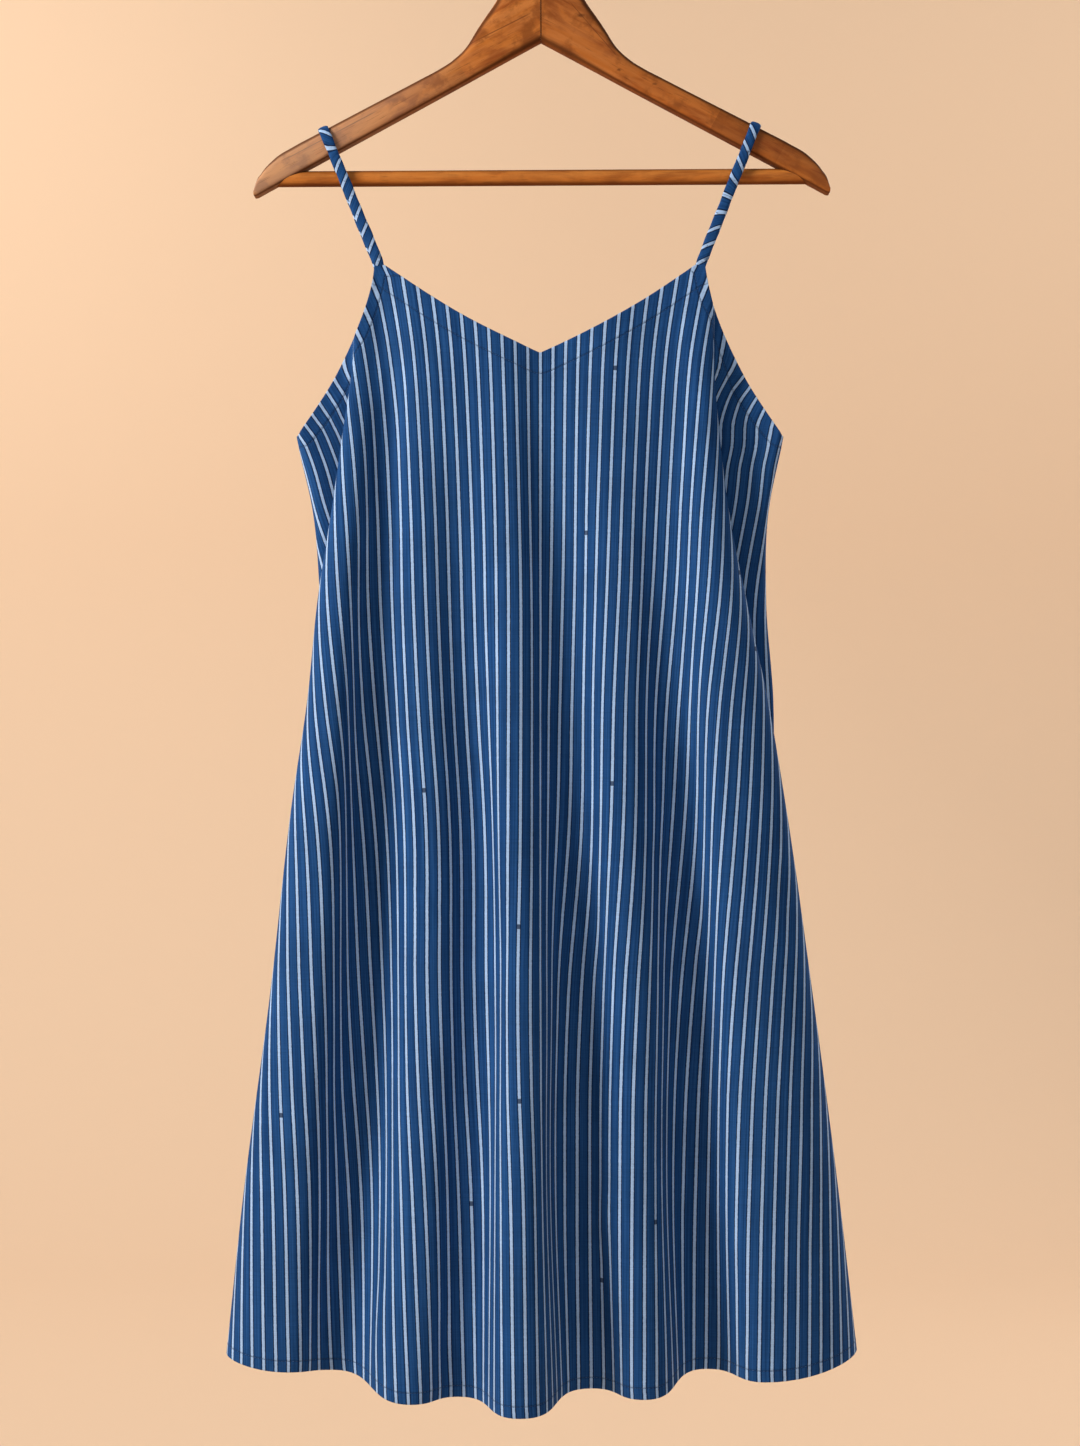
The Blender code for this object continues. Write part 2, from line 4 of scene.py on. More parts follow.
import bpy
import numpy as np
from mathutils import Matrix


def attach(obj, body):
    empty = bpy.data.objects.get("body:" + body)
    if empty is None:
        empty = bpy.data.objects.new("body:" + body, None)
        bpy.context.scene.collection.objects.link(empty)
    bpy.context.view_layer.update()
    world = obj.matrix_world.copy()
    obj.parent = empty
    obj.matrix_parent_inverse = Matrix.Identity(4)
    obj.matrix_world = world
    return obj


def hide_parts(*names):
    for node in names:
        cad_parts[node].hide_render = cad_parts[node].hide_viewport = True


# A pinstriped cotton camisole dress that hangs by its straps on a wooden hanger. Sizes are in
# millimetres unless a name ends in _m, and become metres where a mesh is made. X runs left to right
# as seen from the front, the front faces -Y, +Z is up, and the origin is the inside top of the hook.
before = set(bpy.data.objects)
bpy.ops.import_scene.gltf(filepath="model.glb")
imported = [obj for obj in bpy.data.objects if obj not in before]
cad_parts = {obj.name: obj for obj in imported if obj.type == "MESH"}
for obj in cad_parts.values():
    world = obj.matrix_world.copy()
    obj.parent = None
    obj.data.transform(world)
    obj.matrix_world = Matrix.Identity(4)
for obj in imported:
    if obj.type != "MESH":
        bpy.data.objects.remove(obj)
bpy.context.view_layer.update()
scene = bpy.context.scene


# THE STUDIO
# A pale floor that sweeps up behind, a large soft light high on the left, a weak one on the right and
# one behind. The camera looks level at the middle of the dress.
FLOOR_Z_M = -1.75
SWEEP_START_M = 2.6
SWEEP_RADIUS_M = 1.6
SWEEP_TOP_M = 3.2
SWEEP_HALF_WIDTH_M = 7.0
FLOOR_FRONT_M = -7.0
CAMERA_DISTANCE_M = 1.70
CAMERA_Z_M = -0.6655
CAMERA_LENS = 54.8

camera_data = bpy.data.cameras.new("camera")
camera_data.lens = CAMERA_LENS
camera_data.clip_end = 50.0
camera = bpy.data.objects.new("camera", camera_data)
camera.location = (0.0, -CAMERA_DISTANCE_M, CAMERA_Z_M)
camera.rotation_euler = (math.radians(90.0), 0.0, 0.0)
scene.collection.objects.link(camera)
scene.camera = camera

Lamp = namedtuple("Lamp", "name place aim size power colour")
LAMPS = [
    Lamp("key_light", (-2.5, -1.25, 0.6), (0.0, 0.0, 0.10), 0.9, 84.0, (1.0, 0.985, 0.965)),
    Lamp("fill_light", (1.7, -2.8, 0.3), (0.0, 0.0, -0.6), 1.6, 11.0, (0.80, 0.92, 1.0)),
    Lamp("back_light", (2.2, 1.8, 0.6), (0.0, 0.0, -0.6), 1.2, 26.0, (1.0, 0.97, 0.94)),
    Lamp("wall_light_left", (-2.6, 1.6, 1.6), (-0.9, 4.2, -0.4), 1.8, 75.0, (1.0, 0.97, 0.94)),
    Lamp("wall_light_right", (2.6, 1.6, 1.6), (1.2, 4.2, -0.6), 1.8, 45.0, (1.0, 0.97, 0.94)),
]
for lamp in LAMPS:
    light = bpy.data.lights.new(lamp.name, "AREA")
    light.shape = "SQUARE"
    light.size = lamp.size
    light.energy = lamp.power
    light.color = lamp.colour
    stand = bpy.data.objects.new(lamp.name, light)
    aim = np.array(lamp.aim) - np.array(lamp.place)
    flat_reach = math.hypot(aim[0], aim[1])
    stand.location = lamp.place
    stand.rotation_euler = (math.atan2(flat_reach, -aim[2]), 0.0, math.atan2(-aim[0], aim[1]))
    scene.collection.objects.link(stand)

room_air = bpy.data.worlds.new("room_air")
room_air.use_nodes = True
room_air.node_tree.nodes["Background"].inputs["Color"].default_value = (0.74, 0.86, 1.0, 1.0)
room_air.node_tree.nodes["Background"].inputs["Strength"].default_value = 0.24
scene.world = room_air
scene.view_settings.view_transform = "Standard"


def feed(node, feeds):
    """Give a node its inputs, as numbers or as the values of other nodes."""
    for key, value in feeds.items():
        if isinstance(value, Value):
            node.id_data.links.new(value.socket, node.inputs[key])
        else:
            node.inputs[key].default_value = value


def add_node(tree, kind, feeds=None, out=0, **settings):
    """A node with its settings and inputs. Gives the value that it puts out, or several by their names."""
    made = tree.nodes.new(kind)
    for name, value in settings.items():
        setattr(made, name, value)
    feed(made, feeds or {})
    if isinstance(out, tuple):
        return [Value(made.outputs[name]) for name in out]
    return Value(made.outputs[out])


class Value:
    """What a node puts out, for use in plain sums. Each sum is a Math node of its own."""

    def __init__(self, socket):
        self.socket, self.tree = socket, socket.id_data

    def maths(self, operation, *others):
        return add_node(self.tree, "ShaderNodeMath", dict(enumerate((self, *others))), operation=operation)

    def __add__(self, other):
        return self.maths("ADD", other)

    def __sub__(self, other):
        return self.maths("SUBTRACT", other)

    def __rsub__(self, other):
        return add_node(self.tree, "ShaderNodeMath", {0: other, 1: self}, operation="SUBTRACT")

    def __mul__(self, other):
        return self.maths("MULTIPLY", other)

    def __truediv__(self, other):
        return self.maths("DIVIDE", other)

    def __abs__(self):
        return self.maths("ABSOLUTE")


def tint(share, first, second, blend="MIX"):
    """Two colours mixed, as numbers or as values."""
    tree = next(part.tree for part in (share, first, second) if isinstance(part, Value))
    first, second = (part if isinstance(part, Value) else (*part, 1.0) for part in (first, second))
    feeds = {"Factor": share, 6: first, 7: second}
    return add_node(tree, "ShaderNodeMix", feeds, 2, data_type="RGBA", blend_type=blend)


def new_finish(name):
    """A material, its tree and its surface shader."""
    finish = bpy.data.materials.new(name)
    finish.use_nodes = True
    return finish, finish.node_tree, finish.node_tree.nodes["Principled BSDF"]


def make_piece(name, points_mm, faces, finish, smooth_angle=60.0):
    """A mesh object at the origin from points in millimetres."""
    mesh = bpy.data.meshes.new(name)
    mesh.from_pydata((np.asarray(points_mm, dtype=float) / 1000.0).tolist(), [], faces)
    mesh.shade_smooth()
    mesh.set_sharp_from_angle(angle=math.radians(smooth_angle))
    mesh.materials.append(finish)
    piece = bpy.data.objects.new(name, mesh)
    scene.collection.objects.link(piece)
    return piece


backdrop_finish, tree, surface = new_finish("pale_backdrop")
mottle = add_node(tree, "ShaderNodeTexNoise", {"Scale": 1.4, "Detail": 2.0})
feed(surface, {"Base Color": tint(mottle, (0.79, 0.552, 0.366), (0.83, 0.592, 0.396)), "Roughness": 0.9})
outline = [(FLOOR_FRONT_M, FLOOR_Z_M), (SWEEP_START_M, FLOOR_Z_M)]
for turn in np.radians(np.linspace(5.0, 90.0, 18)):
    rise = SWEEP_RADIUS_M * (1.0 - math.cos(turn))
    outline.append((SWEEP_START_M + SWEEP_RADIUS_M * math.sin(turn), FLOOR_Z_M + rise))
outline.append((SWEEP_START_M + SWEEP_RADIUS_M, SWEEP_TOP_M))
sweep_points = 1000.0 * np.array([(side * SWEEP_HALF_WIDTH_M, y, z) for y, z in outline for side in (-1, 1)])
sweep_faces = [(2 * i, 2 * i + 1, 2 * i + 3, 2 * i + 2) for i in range(len(outline) - 1)]
make_piece("backdrop", sweep_points, sweep_faces, backdrop_finish)


# THE HANGER'S TWO ARMS
# Each arm is sawn from solid hardwood in joined staves, with a flat face, a rounded top edge and a
# squarer underside, then stained orange-brown and varnished. They meet in a mitre at the middle.
HANGER_TILT = 0.32
ARM_REACH = 222.0
ARM_HALF_THICKNESS = 7.0
ARM_TOP_ROUNDNESS = 2.6
ARM_UNDERSIDE_ROUNDNESS = 5.0
ARM_UNDERSIDE_Z = -140.0
ARM_SLOPE = 0.539
ARM_TIP_ROUNDING = 4.0
MITRE_GAP = 0.04
GLUE_LINE_WIDTH = 0.5
ARM_TOP = [
    (0, -76), (8, -77), (16, -81), (23, -89), (29, -99), (36, -111), (43, -121), (49, -130), (57, -143),
    (67, -153), (80, -161.5), (92, -167.8), (162, -204.2), (174, -210.5), (191, -219.5), (206, -229),
    (216, -240), (220.5, -248), (222, -254),
]
ARM_STATIONS = 150
ARM_SIDES = 48
ARM_ANGLES = 2 * np.pi * (np.arange(ARM_SIDES) + 0.5) / ARM_SIDES


def cubic(p, start, leave, end, arrive):
    """The point at share p of a curve from start to end, with its directions at the two."""
    curve = (2 * p**3 - 3 * p**2 + 1) * start + (p**3 - 2 * p**2 + p) * leave
    return curve + (3 * p**2 - 2 * p**3) * end + (p**3 - p**2) * arrive


def smooth_between(knots, values, spots):
    """Cubic curves through values at rising knots."""
    knots, values, spots = (np.asarray(part, dtype=float) for part in (knots, values, spots))
    steps = np.diff(knots)
    slopes = np.diff(values, axis=-1) / steps
    before, after = steps[:-1], steps[1:]
    between = (slopes[..., :-1] * after + slopes[..., 1:] * before) / (before + after)
    at_knot = np.concatenate([slopes[..., :1], between, slopes[..., -1:]], axis=-1)
    inside = np.clip(spots, knots[0], knots[-1])
    index = np.clip(np.searchsorted(knots, inside, side="right") - 1, 0, len(steps) - 1)
    p, step = (inside - knots[index]) / steps[index], steps[index]
    start, end = values[..., index], values[..., index + 1]
    curve = cubic(p, start, step * at_knot[..., index], end, step * at_knot[..., index + 1])
    return curve + np.maximum(spots - knots[-1], 0.0) * at_knot[..., -1:]


def hanger_tilt(points):
    """Points of a level hanger, turned about the hook's rest point to how it hangs."""
    c, s = math.cos(math.radians(HANGER_TILT)), math.sin(math.radians(HANGER_TILT))
    return np.asarray(points, dtype=float) @ np.array([[c, 0.0, -s], [0.0, 1.0, 0.0], [s, 0.0, c]]).T


def arm_top(x):
    """Height of an arm's top edge at a distance from the mitre."""
    xs, zs = zip(*ARM_TOP)
    return smooth_between(xs, zs, abs(x)).item()


def arm_bottom(x):
    """Height of an arm's underside, rounded up at the tip."""
    from_tip = max(ARM_TIP_ROUNDING - (ARM_REACH - abs(x)), 0.0)
    lift = ARM_TIP_ROUNDING - math.sqrt(max(ARM_TIP_ROUNDING**2 - from_tip**2, 0.0))
    return ARM_UNDERSIDE_Z - ARM_SLOPE * abs(x) + 0.6 * lift


def sweep_faces_of(rings, sides, inward):
    """Faces of a closed tube of rings, with a fan of faces over each end's middle point."""
    faces = []
    for ring in range(rings - 1):
        for side in range(sides):
            after = (side + 1) % sides
            low, high = ring * sides, (ring + 1) * sides
            faces.append([low + side, high + side, high + after, low + after])
    start, end = rings * sides, rings * sides + 1
    last = (rings - 1) * sides
    for side in range(sides):
        after = (side + 1) % sides
        faces.append([start, side, after])
        faces.append([end, last + after, last + side])
    return [face[::-1] for face in faces] if inward else faces


def tube_points(rings):
    """The points of a tube's rings, then the middles of its first and its last ring."""
    rings = np.asarray(rings, dtype=float)
    return np.concatenate([rings.reshape(-1, 3), rings[[0, -1]].mean(axis=1)])


def make_tube(name, rings, finish, inward=False, smooth_angle=60.0):
    """A closed tube through rings of points."""
    faces = sweep_faces_of(len(rings), len(rings[0]), inward)
    return make_piece(name, tube_points(rings), faces, finish, smooth_angle)


def put_values(piece, name, values, kind="FLOAT"):
    """Store a value or a vector for each point of a piece's mesh."""
    layer = piece.data.attributes.new(name, kind, "POINT")
    field = "vector" if kind == "FLOAT_VECTOR" else "value"
    layer.data.foreach_set(field, np.asarray(values, dtype=np.float32).ravel())


def new_group(name, inputs, outputs):
    """A shader node group, the values that come into it, and the node that takes what goes out."""
    group = bpy.data.node_groups.new(name, "ShaderNodeTree")
    for label, kind, value in inputs:
        socket = group.interface.new_socket(name=label, in_out="INPUT", socket_type="NodeSocket" + kind)
        if value is not None:
            socket.default_value = value
    for label in outputs:
        group.interface.new_socket(name=label, in_out="OUTPUT", socket_type="NodeSocketFloat")
    ends = group.nodes.new("NodeGroupInput")
    return group, [Value(ends.outputs[label]) for label, _, _ in inputs], group.nodes.new("NodeGroupOutput")


def stretched(place, stretch):
    """A place with each of its axes multiplied."""
    return add_node(place.tree, "ShaderNodeVectorMath", {0: place, 1: stretch}, operation="MULTIPLY")


def fade(value, low, high, start=0.0, end=1.0):
    """A value carried smoothly from start to end as it goes from low to high."""
    feeds = {"Value": value, "From Min": low, "From Max": high, "To Min": start, "To Max": end}
    return add_node(value.tree, "ShaderNodeMapRange", feeds, "Result", interpolation_type="SMOOTHSTEP")


def noise(place, scale=1.0, detail=2.0, roughness=0.5, distortion=0.0):
    """Soft noise over a place."""
    feeds = {"Vector": place, "Scale": scale, "Detail": detail, "Roughness": roughness, "Distortion": distortion}
    return add_node(place.tree, "ShaderNodeTexNoise", feeds)


def bumped(height, strength, distance):
    """Normals for a surface with this height."""
    feeds = {"Height": height, "Strength": strength, "Distance": distance}
    return add_node(height.tree, "ShaderNodeBump", feeds)


grain_group, (along, strength), result = new_group(
    "wood_grain", [("Along", "Vector", None), ("Streaks", "Float", 1.0)], ("Tone", "Pore", "Figure")
)
fibres = noise(stretched(along, (24.0, 230.0, 230.0)), detail=5.0, roughness=0.62, distortion=0.4)
bands = noise(stretched(along, (17.0, 56.0, 56.0)), detail=3.0, distortion=1.6)
pores = noise(stretched(along, (70.0, 1500.0, 1500.0)))
tone = fade(fibres, 0.32, 0.70) * strength
feed(result, {"Tone": tone, "Pore": fade(pores, 0.62, 0.74), "Figure": fade(bands, 0.34, 0.62)})

# The ramp of stave tones covers a quarter of a metre along the wood
RAMP_PER_M = 4.0


def varnished_wood(name, stain, stave_tones_and_light, knots=(), joints=(), painted_sheen=0.0, mottled=0.8):
    """Stained, varnished hardwood: a tone for each stave with painted light and shade in it, knots, glued joints, a
    pale painted sheen toward one end, and dark edges with painted shade below.
    """
    base, dark, light = np.array(stain)
    finish, tree, surface = new_finish(name)
    along = add_node(tree, "ShaderNodeAttribute", out="Vector", attribute_name="wood")
    dark_edge_and_shade = add_node(tree, "ShaderNodeAttribute", out="Fac", attribute_name="dark_edge_and_shade")
    outs = ("Tone", "Pore", "Figure")
    tone, pore, figure = add_node(tree, "ShaderNodeGroup", {"Along": along}, outs, node_tree=grain_group)
    colour = tint(tone * 0.55, tint(figure, dark, base), light)
    place = add_node(tree, "ShaderNodeTexCoord", out="Object")
    ragged = noise(place, 420.0)
    for knot in knots:
        centre = (knot.x / 1000.0, 0.0, knot.z / 1000.0)
        size = (1000.0 / knot.length, 0.0, 1000.0 / knot.height)
        off = add_node(tree, "ShaderNodeVectorMath", {0: place, 1: centre}, operation="SUBTRACT")
        off = add_node(tree, "ShaderNodeVectorMath", {0: stretched(off, size)}, "Value", operation="LENGTH")
        colour = tint(fade(off + ragged * 1.1, 1.5, 0.6, 0.0, knot.depth), colour, 0.30 * dark)
    sideways, upward = add_node(tree, "ShaderNodeSeparateXYZ", {0: place}, ("X", "Z"))
    for joint in joints:
        reach = abs(joint.foot_x - joint.head_x)
        rise = (joint.foot_z - joint.head_z) / (joint.foot_x - joint.head_x)
        off = abs(upward - (sideways * rise + (joint.head_z - rise * joint.head_x) / 1000.0))
        ran = abs(sideways - (joint.head_x + joint.foot_x) / 2000.0)
        mark = fade(off, 0.0006, 0.0002) * fade(ran, reach / 1800.0, reach / 2200.0)
        colour = tint(mark * 0.7, colour, 0.35 * dark)
    run = add_node(tree, "ShaderNodeSeparateXYZ", {0: along}, "X")
    # Stave tones, with the painted sheen and painted shade of the two arms folded into them
    stave_and_light_tone = tree.nodes.new("ShaderNodeValToRGB")
    feed(stave_and_light_tone, {"Fac": run * RAMP_PER_M})
    stave_and_light_tone.color_ramp.interpolation = "CONSTANT"
    stave_and_light_tone.color_ramp.elements[0].color = (*stave_tones_and_light[0][1], 1.0)
    stave_and_light_tone.color_ramp.elements.remove(stave_and_light_tone.color_ramp.elements[1])
    for start, tone_there in stave_tones_and_light[1:]:
        stave_and_light_tone.color_ramp.elements.new(start * RAMP_PER_M / 1000.0).color = (*tone_there, 1.0)
    colour = tint(1.0, colour, Value(stave_and_light_tone.outputs["Color"]), "MULTIPLY")
    blotch = noise(place, 60.0, 4.0, 0.6)
    colour = tint(fade(blotch, 0.47, 0.66, 0.0, mottled), colour, 0.85 * dark)
    # A pale painted sheen that grows toward the arm's outer end
    if painted_sheen:
        colour = tint(fade(run, 0.03, 0.20, 0.0, painted_sheen), colour, (0.95, 0.72, 0.52))
    # Darker along the top edges and the mitre's glue line, and painted shade along the undersides of the arms and the
    # dowel
    colour = tint(dark_edge_and_shade * 0.88, colour, 0.28 * dark)
    feed(surface, {
        "Base Color": tint(pore * 0.5, colour, 0.35 * dark),
        "Roughness": fade(tone, 0.0, 1.0, 0.42, 0.55) + dark_edge_and_shade * 0.35,
        "Specular IOR Level": 0.15,
        "Coat Weight": fade(dark_edge_and_shade, 0.0, 0.6, 0.08, 0.0),
        "Coat Roughness": 0.3,
        "Normal": bumped(tone * 0.4 - pore, 0.35, 0.0002),
    })
    return finish


def arm_ring(x, side):
    """One upright section of an arm, rounded above and squarer below."""
    high, low = arm_top(x), arm_bottom(x)
    middle, half = (high + low) / 2, (high - low) / 2
    c, s = np.cos(ARM_ANGLES), np.sin(ARM_ANGLES)
    roundness = np.where(s > 0, ARM_TOP_ROUNDNESS, ARM_UNDERSIDE_ROUNDNESS)
    y = ARM_HALF_THICKNESS * np.sign(c) * np.abs(c) ** (2 / roundness)
    z = middle + half * np.sign(s) * np.abs(s) ** (2 / roundness)
    return np.stack([np.full(ARM_SIDES, side * x), y, z], axis=-1)


# Each stave's start along the arm and its tone, then the knots and the glued joints seen from the front
# The left arm's tones are lifted, and bluer toward its end, as painted sheen; the right arm's are lowered as painted
# shade
LEFT_STAVE_TONES_AND_SHEEN = [
    (0, (1.12, 1.05, 1.04)), (60, (1.02, 1.01, 1.04)), (125, (1.05, 1.06, 1.12)), (190, (1.03, 1.08, 1.2)),
]
RIGHT_STAVE_TONES_AND_SHADE = [
    (0, (0.93, 0.82, 0.80)), (74, (0.96, 0.82, 0.72)), (143, (0.70, 0.57, 0.48)), (200, (0.80, 0.70, 0.62)),
]
Knot = namedtuple("Knot", "x z length height depth")
Joint = namedtuple("Joint", "head_x head_z foot_x foot_z")
LEFT_KNOTS = [Knot(-71, -157, 2.6, 1.4, 0.7), Knot(-112, -186, 4.5, 1.8, 0.5), Knot(-193, -224, 3.5, 2.5, 0.35)]
RIGHT_KNOTS = [Knot(31, -121, 5.0, 3.0, 0.8), Knot(61, -163, 2.4, 1.6, 0.8), Knot(88, -174, 3.0, 1.6, 0.6)]
LEFT_JOINTS = [Joint(-62, -147, -10, -121), Joint(-196, -232, -128, -196)]
RIGHT_JOINTS = [Joint(24, -112, 58, -151)]
# How strongly a pale painted sheen lies on each arm toward its outer end
LEFT_PAINTED_SHEEN, RIGHT_PAINTED_SHEEN = 0.24, 0.0
ARM_STAIN = ((0.60, 0.190, 0.030), (0.36, 0.092, 0.014), (0.72, 0.27, 0.065))

stations = ARM_REACH * np.sin(np.linspace(0.0, 0.5, ARM_STATIONS)[1:] * np.pi)
stations = np.concatenate([[MITRE_GAP / 2, GLUE_LINE_WIDTH, GLUE_LINE_WIDTH + 0.2], stations])
facing_up = np.sin(ARM_ANGLES)
# The arms darken along the top arris and at the mitre's glue line, with painted shade along the underside
top_arris = np.clip((facing_up - 0.60) / 0.10, 0.0, 1.0) * (1.0 - 0.6 * np.clip((facing_up - 0.92) / 0.03, 0.0, 1.0))
underside_shade = np.clip((-facing_up - 0.62) / 0.2, 0.0, 1.0) * (1.0 - 0.25 * np.clip((-facing_up - 0.93) / 0.05, 0.0, 1.0))
arris = np.maximum(np.maximum(top_arris, underside_shade)[None], (stations <= GLUE_LINE_WIDTH)[:, None])
along_slope = math.atan(ARM_SLOPE)
for side_name, side, *markings in (
    ("left", -1.0, LEFT_STAVE_TONES_AND_SHEEN, LEFT_KNOTS, LEFT_JOINTS, LEFT_PAINTED_SHEEN),
    ("right", 1.0, RIGHT_STAVE_TONES_AND_SHADE, RIGHT_KNOTS, RIGHT_JOINTS, RIGHT_PAINTED_SHEEN),
):
    arm_finish = varnished_wood("stained_hardwood_" + side_name, ARM_STAIN, *markings)
    level_rings = np.array([arm_ring(x, side) for x in stations])
    arm = make_tube("arm_" + side_name, hanger_tilt(level_rings), arm_finish, inward=side > 0)
    level = tube_points(level_rings)
    away, height = np.abs(level[:, 0]), level[:, 2]
    run = away * math.cos(along_slope) - height * math.sin(along_slope)
    across = away * math.sin(along_slope) + height * math.cos(along_slope)
    wood = np.stack([run - 70.0, level[:, 1] + 30.0 * side, across], axis=-1) / 1000.0
    put_values(arm, "wood", wood, "FLOAT_VECTOR")
    put_values(arm, "dark_edge_and_shade", np.concatenate([arris.ravel(), [1.0, 0.6]]))
    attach(arm, "root")
    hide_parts("hanger_arm_" + side_name)


# THE TROUSER BAR
# A plain round hardwood dowel of the same stain, its two ends cut to fit the undersides of the arms.
BAR_RADIUS = 6.0
BAR_Z = -244.5
BAR_CLEARANCE = 0.3
BAR_SIDES = 40
BAR_STATIONS = 60
BAR_STAIN = ((0.70, 0.205, 0.030), (0.42, 0.105, 0.014), (0.82, 0.29, 0.053))
BAR_GRAIN_START = 260.0


def bar_end(y, z):
    """Distance from the middle at which a line along the bar meets an arm's underside."""
    near, far = ARM_REACH / 2, ARM_REACH
    for _ in range(40):
        x = (near + far) / 2
        high, low = arm_top(x), arm_bottom(x)
        middle, half = (high + low) / 2, (high - low) / 2
        share = (abs(y) / ARM_HALF_THICKNESS) ** ARM_UNDERSIDE_ROUNDNESS
        flat = (1 - share) ** (1 / ARM_UNDERSIDE_ROUNDNESS)
        if z > middle - half * flat - BAR_CLEARANCE:
            far = x
        else:
            near = x
    return near


bar_angles = 2 * np.pi * np.arange(BAR_SIDES) / BAR_SIDES
bar_rings = []
for shrink in (0.35, 0.75):
    y, z = shrink * BAR_RADIUS * np.cos(bar_angles), BAR_Z + shrink * BAR_RADIUS * np.sin(bar_angles)
    bar_rings.append(np.stack([[-bar_end(a, b) for a, b in zip(y, z)], y, z], axis=-1))
y, z = BAR_RADIUS * np.cos(bar_angles), BAR_Z + BAR_RADIUS * np.sin(bar_angles)
ends_x = np.array([bar_end(a, b) for a, b in zip(y, z)])
for share in np.linspace(-1.0, 1.0, BAR_STATIONS):
    bar_rings.append(np.stack([share * ends_x, y, z], axis=-1))
for ring in bar_rings[1::-1]:
    bar_rings.append(ring * np.array([-1.0, 1.0, 1.0]))
bar_finish = varnished_wood("stained_dowel", BAR_STAIN, [(0, (1.0, 1.0, 1.0))], mottled=0.2)
bar = make_tube("bar", hanger_tilt(bar_rings), bar_finish, inward=True)
level = tube_points(bar_rings)
put_values(bar, "wood", (level + np.array([BAR_GRAIN_START, 0.0, 0.0])) / 1000.0, "FLOAT_VECTOR")
# The dowel darkens toward its top edge, with painted shade toward its underside
put_values(bar, "dark_edge_and_shade", np.clip((np.abs((level[:, 2] - BAR_Z) / BAR_RADIUS) - 0.55) / 0.35, 0.0, 0.95))
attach(bar, "root")
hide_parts("trouser_bar")


# THE HOOK
# Bright plated steel wire, bent to a crook with a domed tip. It screws into the mitre through a
# small turned collar.
HOOK_INNER_RADIUS = 18.0
HOOK_WIRE_RADIUS = 1.8
HOOK_BEND_Z = -50.0
HOOK_FOOT_Z = -75.5
HOOK_SWEEP_START = -60.0
HOOK_SWEEP_END = 200.0
HOOK_STEM_LEAN = 20.0
COLLAR_HEIGHT = 3.0
# Rises from the collar's foot and from its top, and the radius at each
COLLAR_FOOT = [(0.0, 4.3), (0.3, 4.9), (0.7, 5.0)]
COLLAR_TOP = [(-0.7, 5.0), (-0.25, 4.8), (0.0, 4.2), (0.2, 2.4)]
HOOK_SIDES = 28
# Distances past the end of the crook, and the wire's share of its radius at each
HOOK_TIP_DOME = [(0.7, 0.92), (1.1, 0.8), (1.4, 0.6), (1.65, 0.35)]

wire = HOOK_WIRE_RADIUS
crook = HOOK_INNER_RADIUS + wire
collar_top = HOOK_FOOT_Z + COLLAR_HEIGHT
route = [(0.0, HOOK_FOOT_Z + rise, size) for rise, size in COLLAR_FOOT]
route += [(0.0, collar_top + rise, size) for rise, size in COLLAR_TOP]
route += [(0.0, z, wire) for z in np.linspace(collar_top + 0.5, HOOK_BEND_Z - 1.0, 12)]
join = math.radians(HOOK_SWEEP_START)
start = np.array([0.0, HOOK_BEND_Z])
end = np.array([crook * math.cos(join), -HOOK_INNER_RADIUS + crook * math.sin(join)])
leave = HOOK_STEM_LEAN * np.array([0.0, 1.0])
arrive = HOOK_STEM_LEAN * np.array([-math.sin(join), math.cos(join)])
for p in np.linspace(0.0, 1.0, 22)[:-1]:
    route.append((*cubic(p, start, leave, end, arrive), wire))
sweep_angles = list(np.radians(np.linspace(HOOK_SWEEP_START, HOOK_SWEEP_END, 90)))
for angle in sweep_angles:
    route.append((crook * math.cos(angle), -HOOK_INNER_RADIUS + crook * math.sin(angle), wire))
for past, share in HOOK_TIP_DOME:
    angle = sweep_angles[-1] + past / crook
    route.append((crook * math.cos(angle), -HOOK_INNER_RADIUS + crook * math.sin(angle), wire * share))
path = np.array([(x, z) for x, z, _ in route])
headings = np.gradient(path, axis=0)
headings /= np.linalg.norm(headings, axis=1, keepdims=True)
hook_rings = []
hook_angles = 2 * np.pi * np.arange(HOOK_SIDES) / HOOK_SIDES
for (x, z, size), (dx, dz) in zip(route, headings):
    sideways = size * np.cos(hook_angles)
    ring = np.stack([x - dz * sideways, size * np.sin(hook_angles), z + dx * sideways], axis=-1)
    hook_rings.append(hanger_tilt(ring))

steel_finish, tree, surface = new_finish("plated_steel")
place = add_node(tree, "ShaderNodeTexCoord", out="Object")
haze = noise(place, 90.0, 3.0)
feed(surface, {
    "Base Color": tint(haze, (0.56, 0.55, 0.53), (0.70, 0.69, 0.67)),
    "Roughness": fade(haze, 0.3, 0.7, 0.16, 0.34),
    "Metallic": 1.0,
    "Normal": bumped(noise(place, 900.0, distortion=2.0), 0.12, 0.0001),
})
hook = make_tube("wire_hook", hook_rings, steel_finish, smooth_angle=40.0)
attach(hook, "root")
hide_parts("hook")


# THE FRONT AND THE BACK OF THE DRESS
# Two shaped panels of light cotton shirting, woven blue with white pinstripes that run down the cloth.
# They are sewn together at the sides, and hang in flutes from the bust and widen to the hem. The neck,
# the armholes and the hem are turned in and stitched.
CLOTH_THICKNESS = 0.7
TURNED_THICKNESS = 0.5
NECK_TURNING = 16.0
ARMHOLE_TURNING = 9.0
ARMHOLE_PULL = 0.3
HEM_TURNING = 8.5
SIDE_SEAM_GAP = 0.3
SEAM_ALLOWANCE = 5.0
ALLOWANCE_STEPS = (1.2, 3.0, SEAM_ALLOWANCE)
EDGE_ROLL = 0.32
# The hem twists by these shares of a millimetre, each over its own length
HEM_TWISTS = [(0.35, 23.0), (0.25, 9.7)]
STRIPE_PITCH = 9.5
STRIPE_WIDTH = 2.15

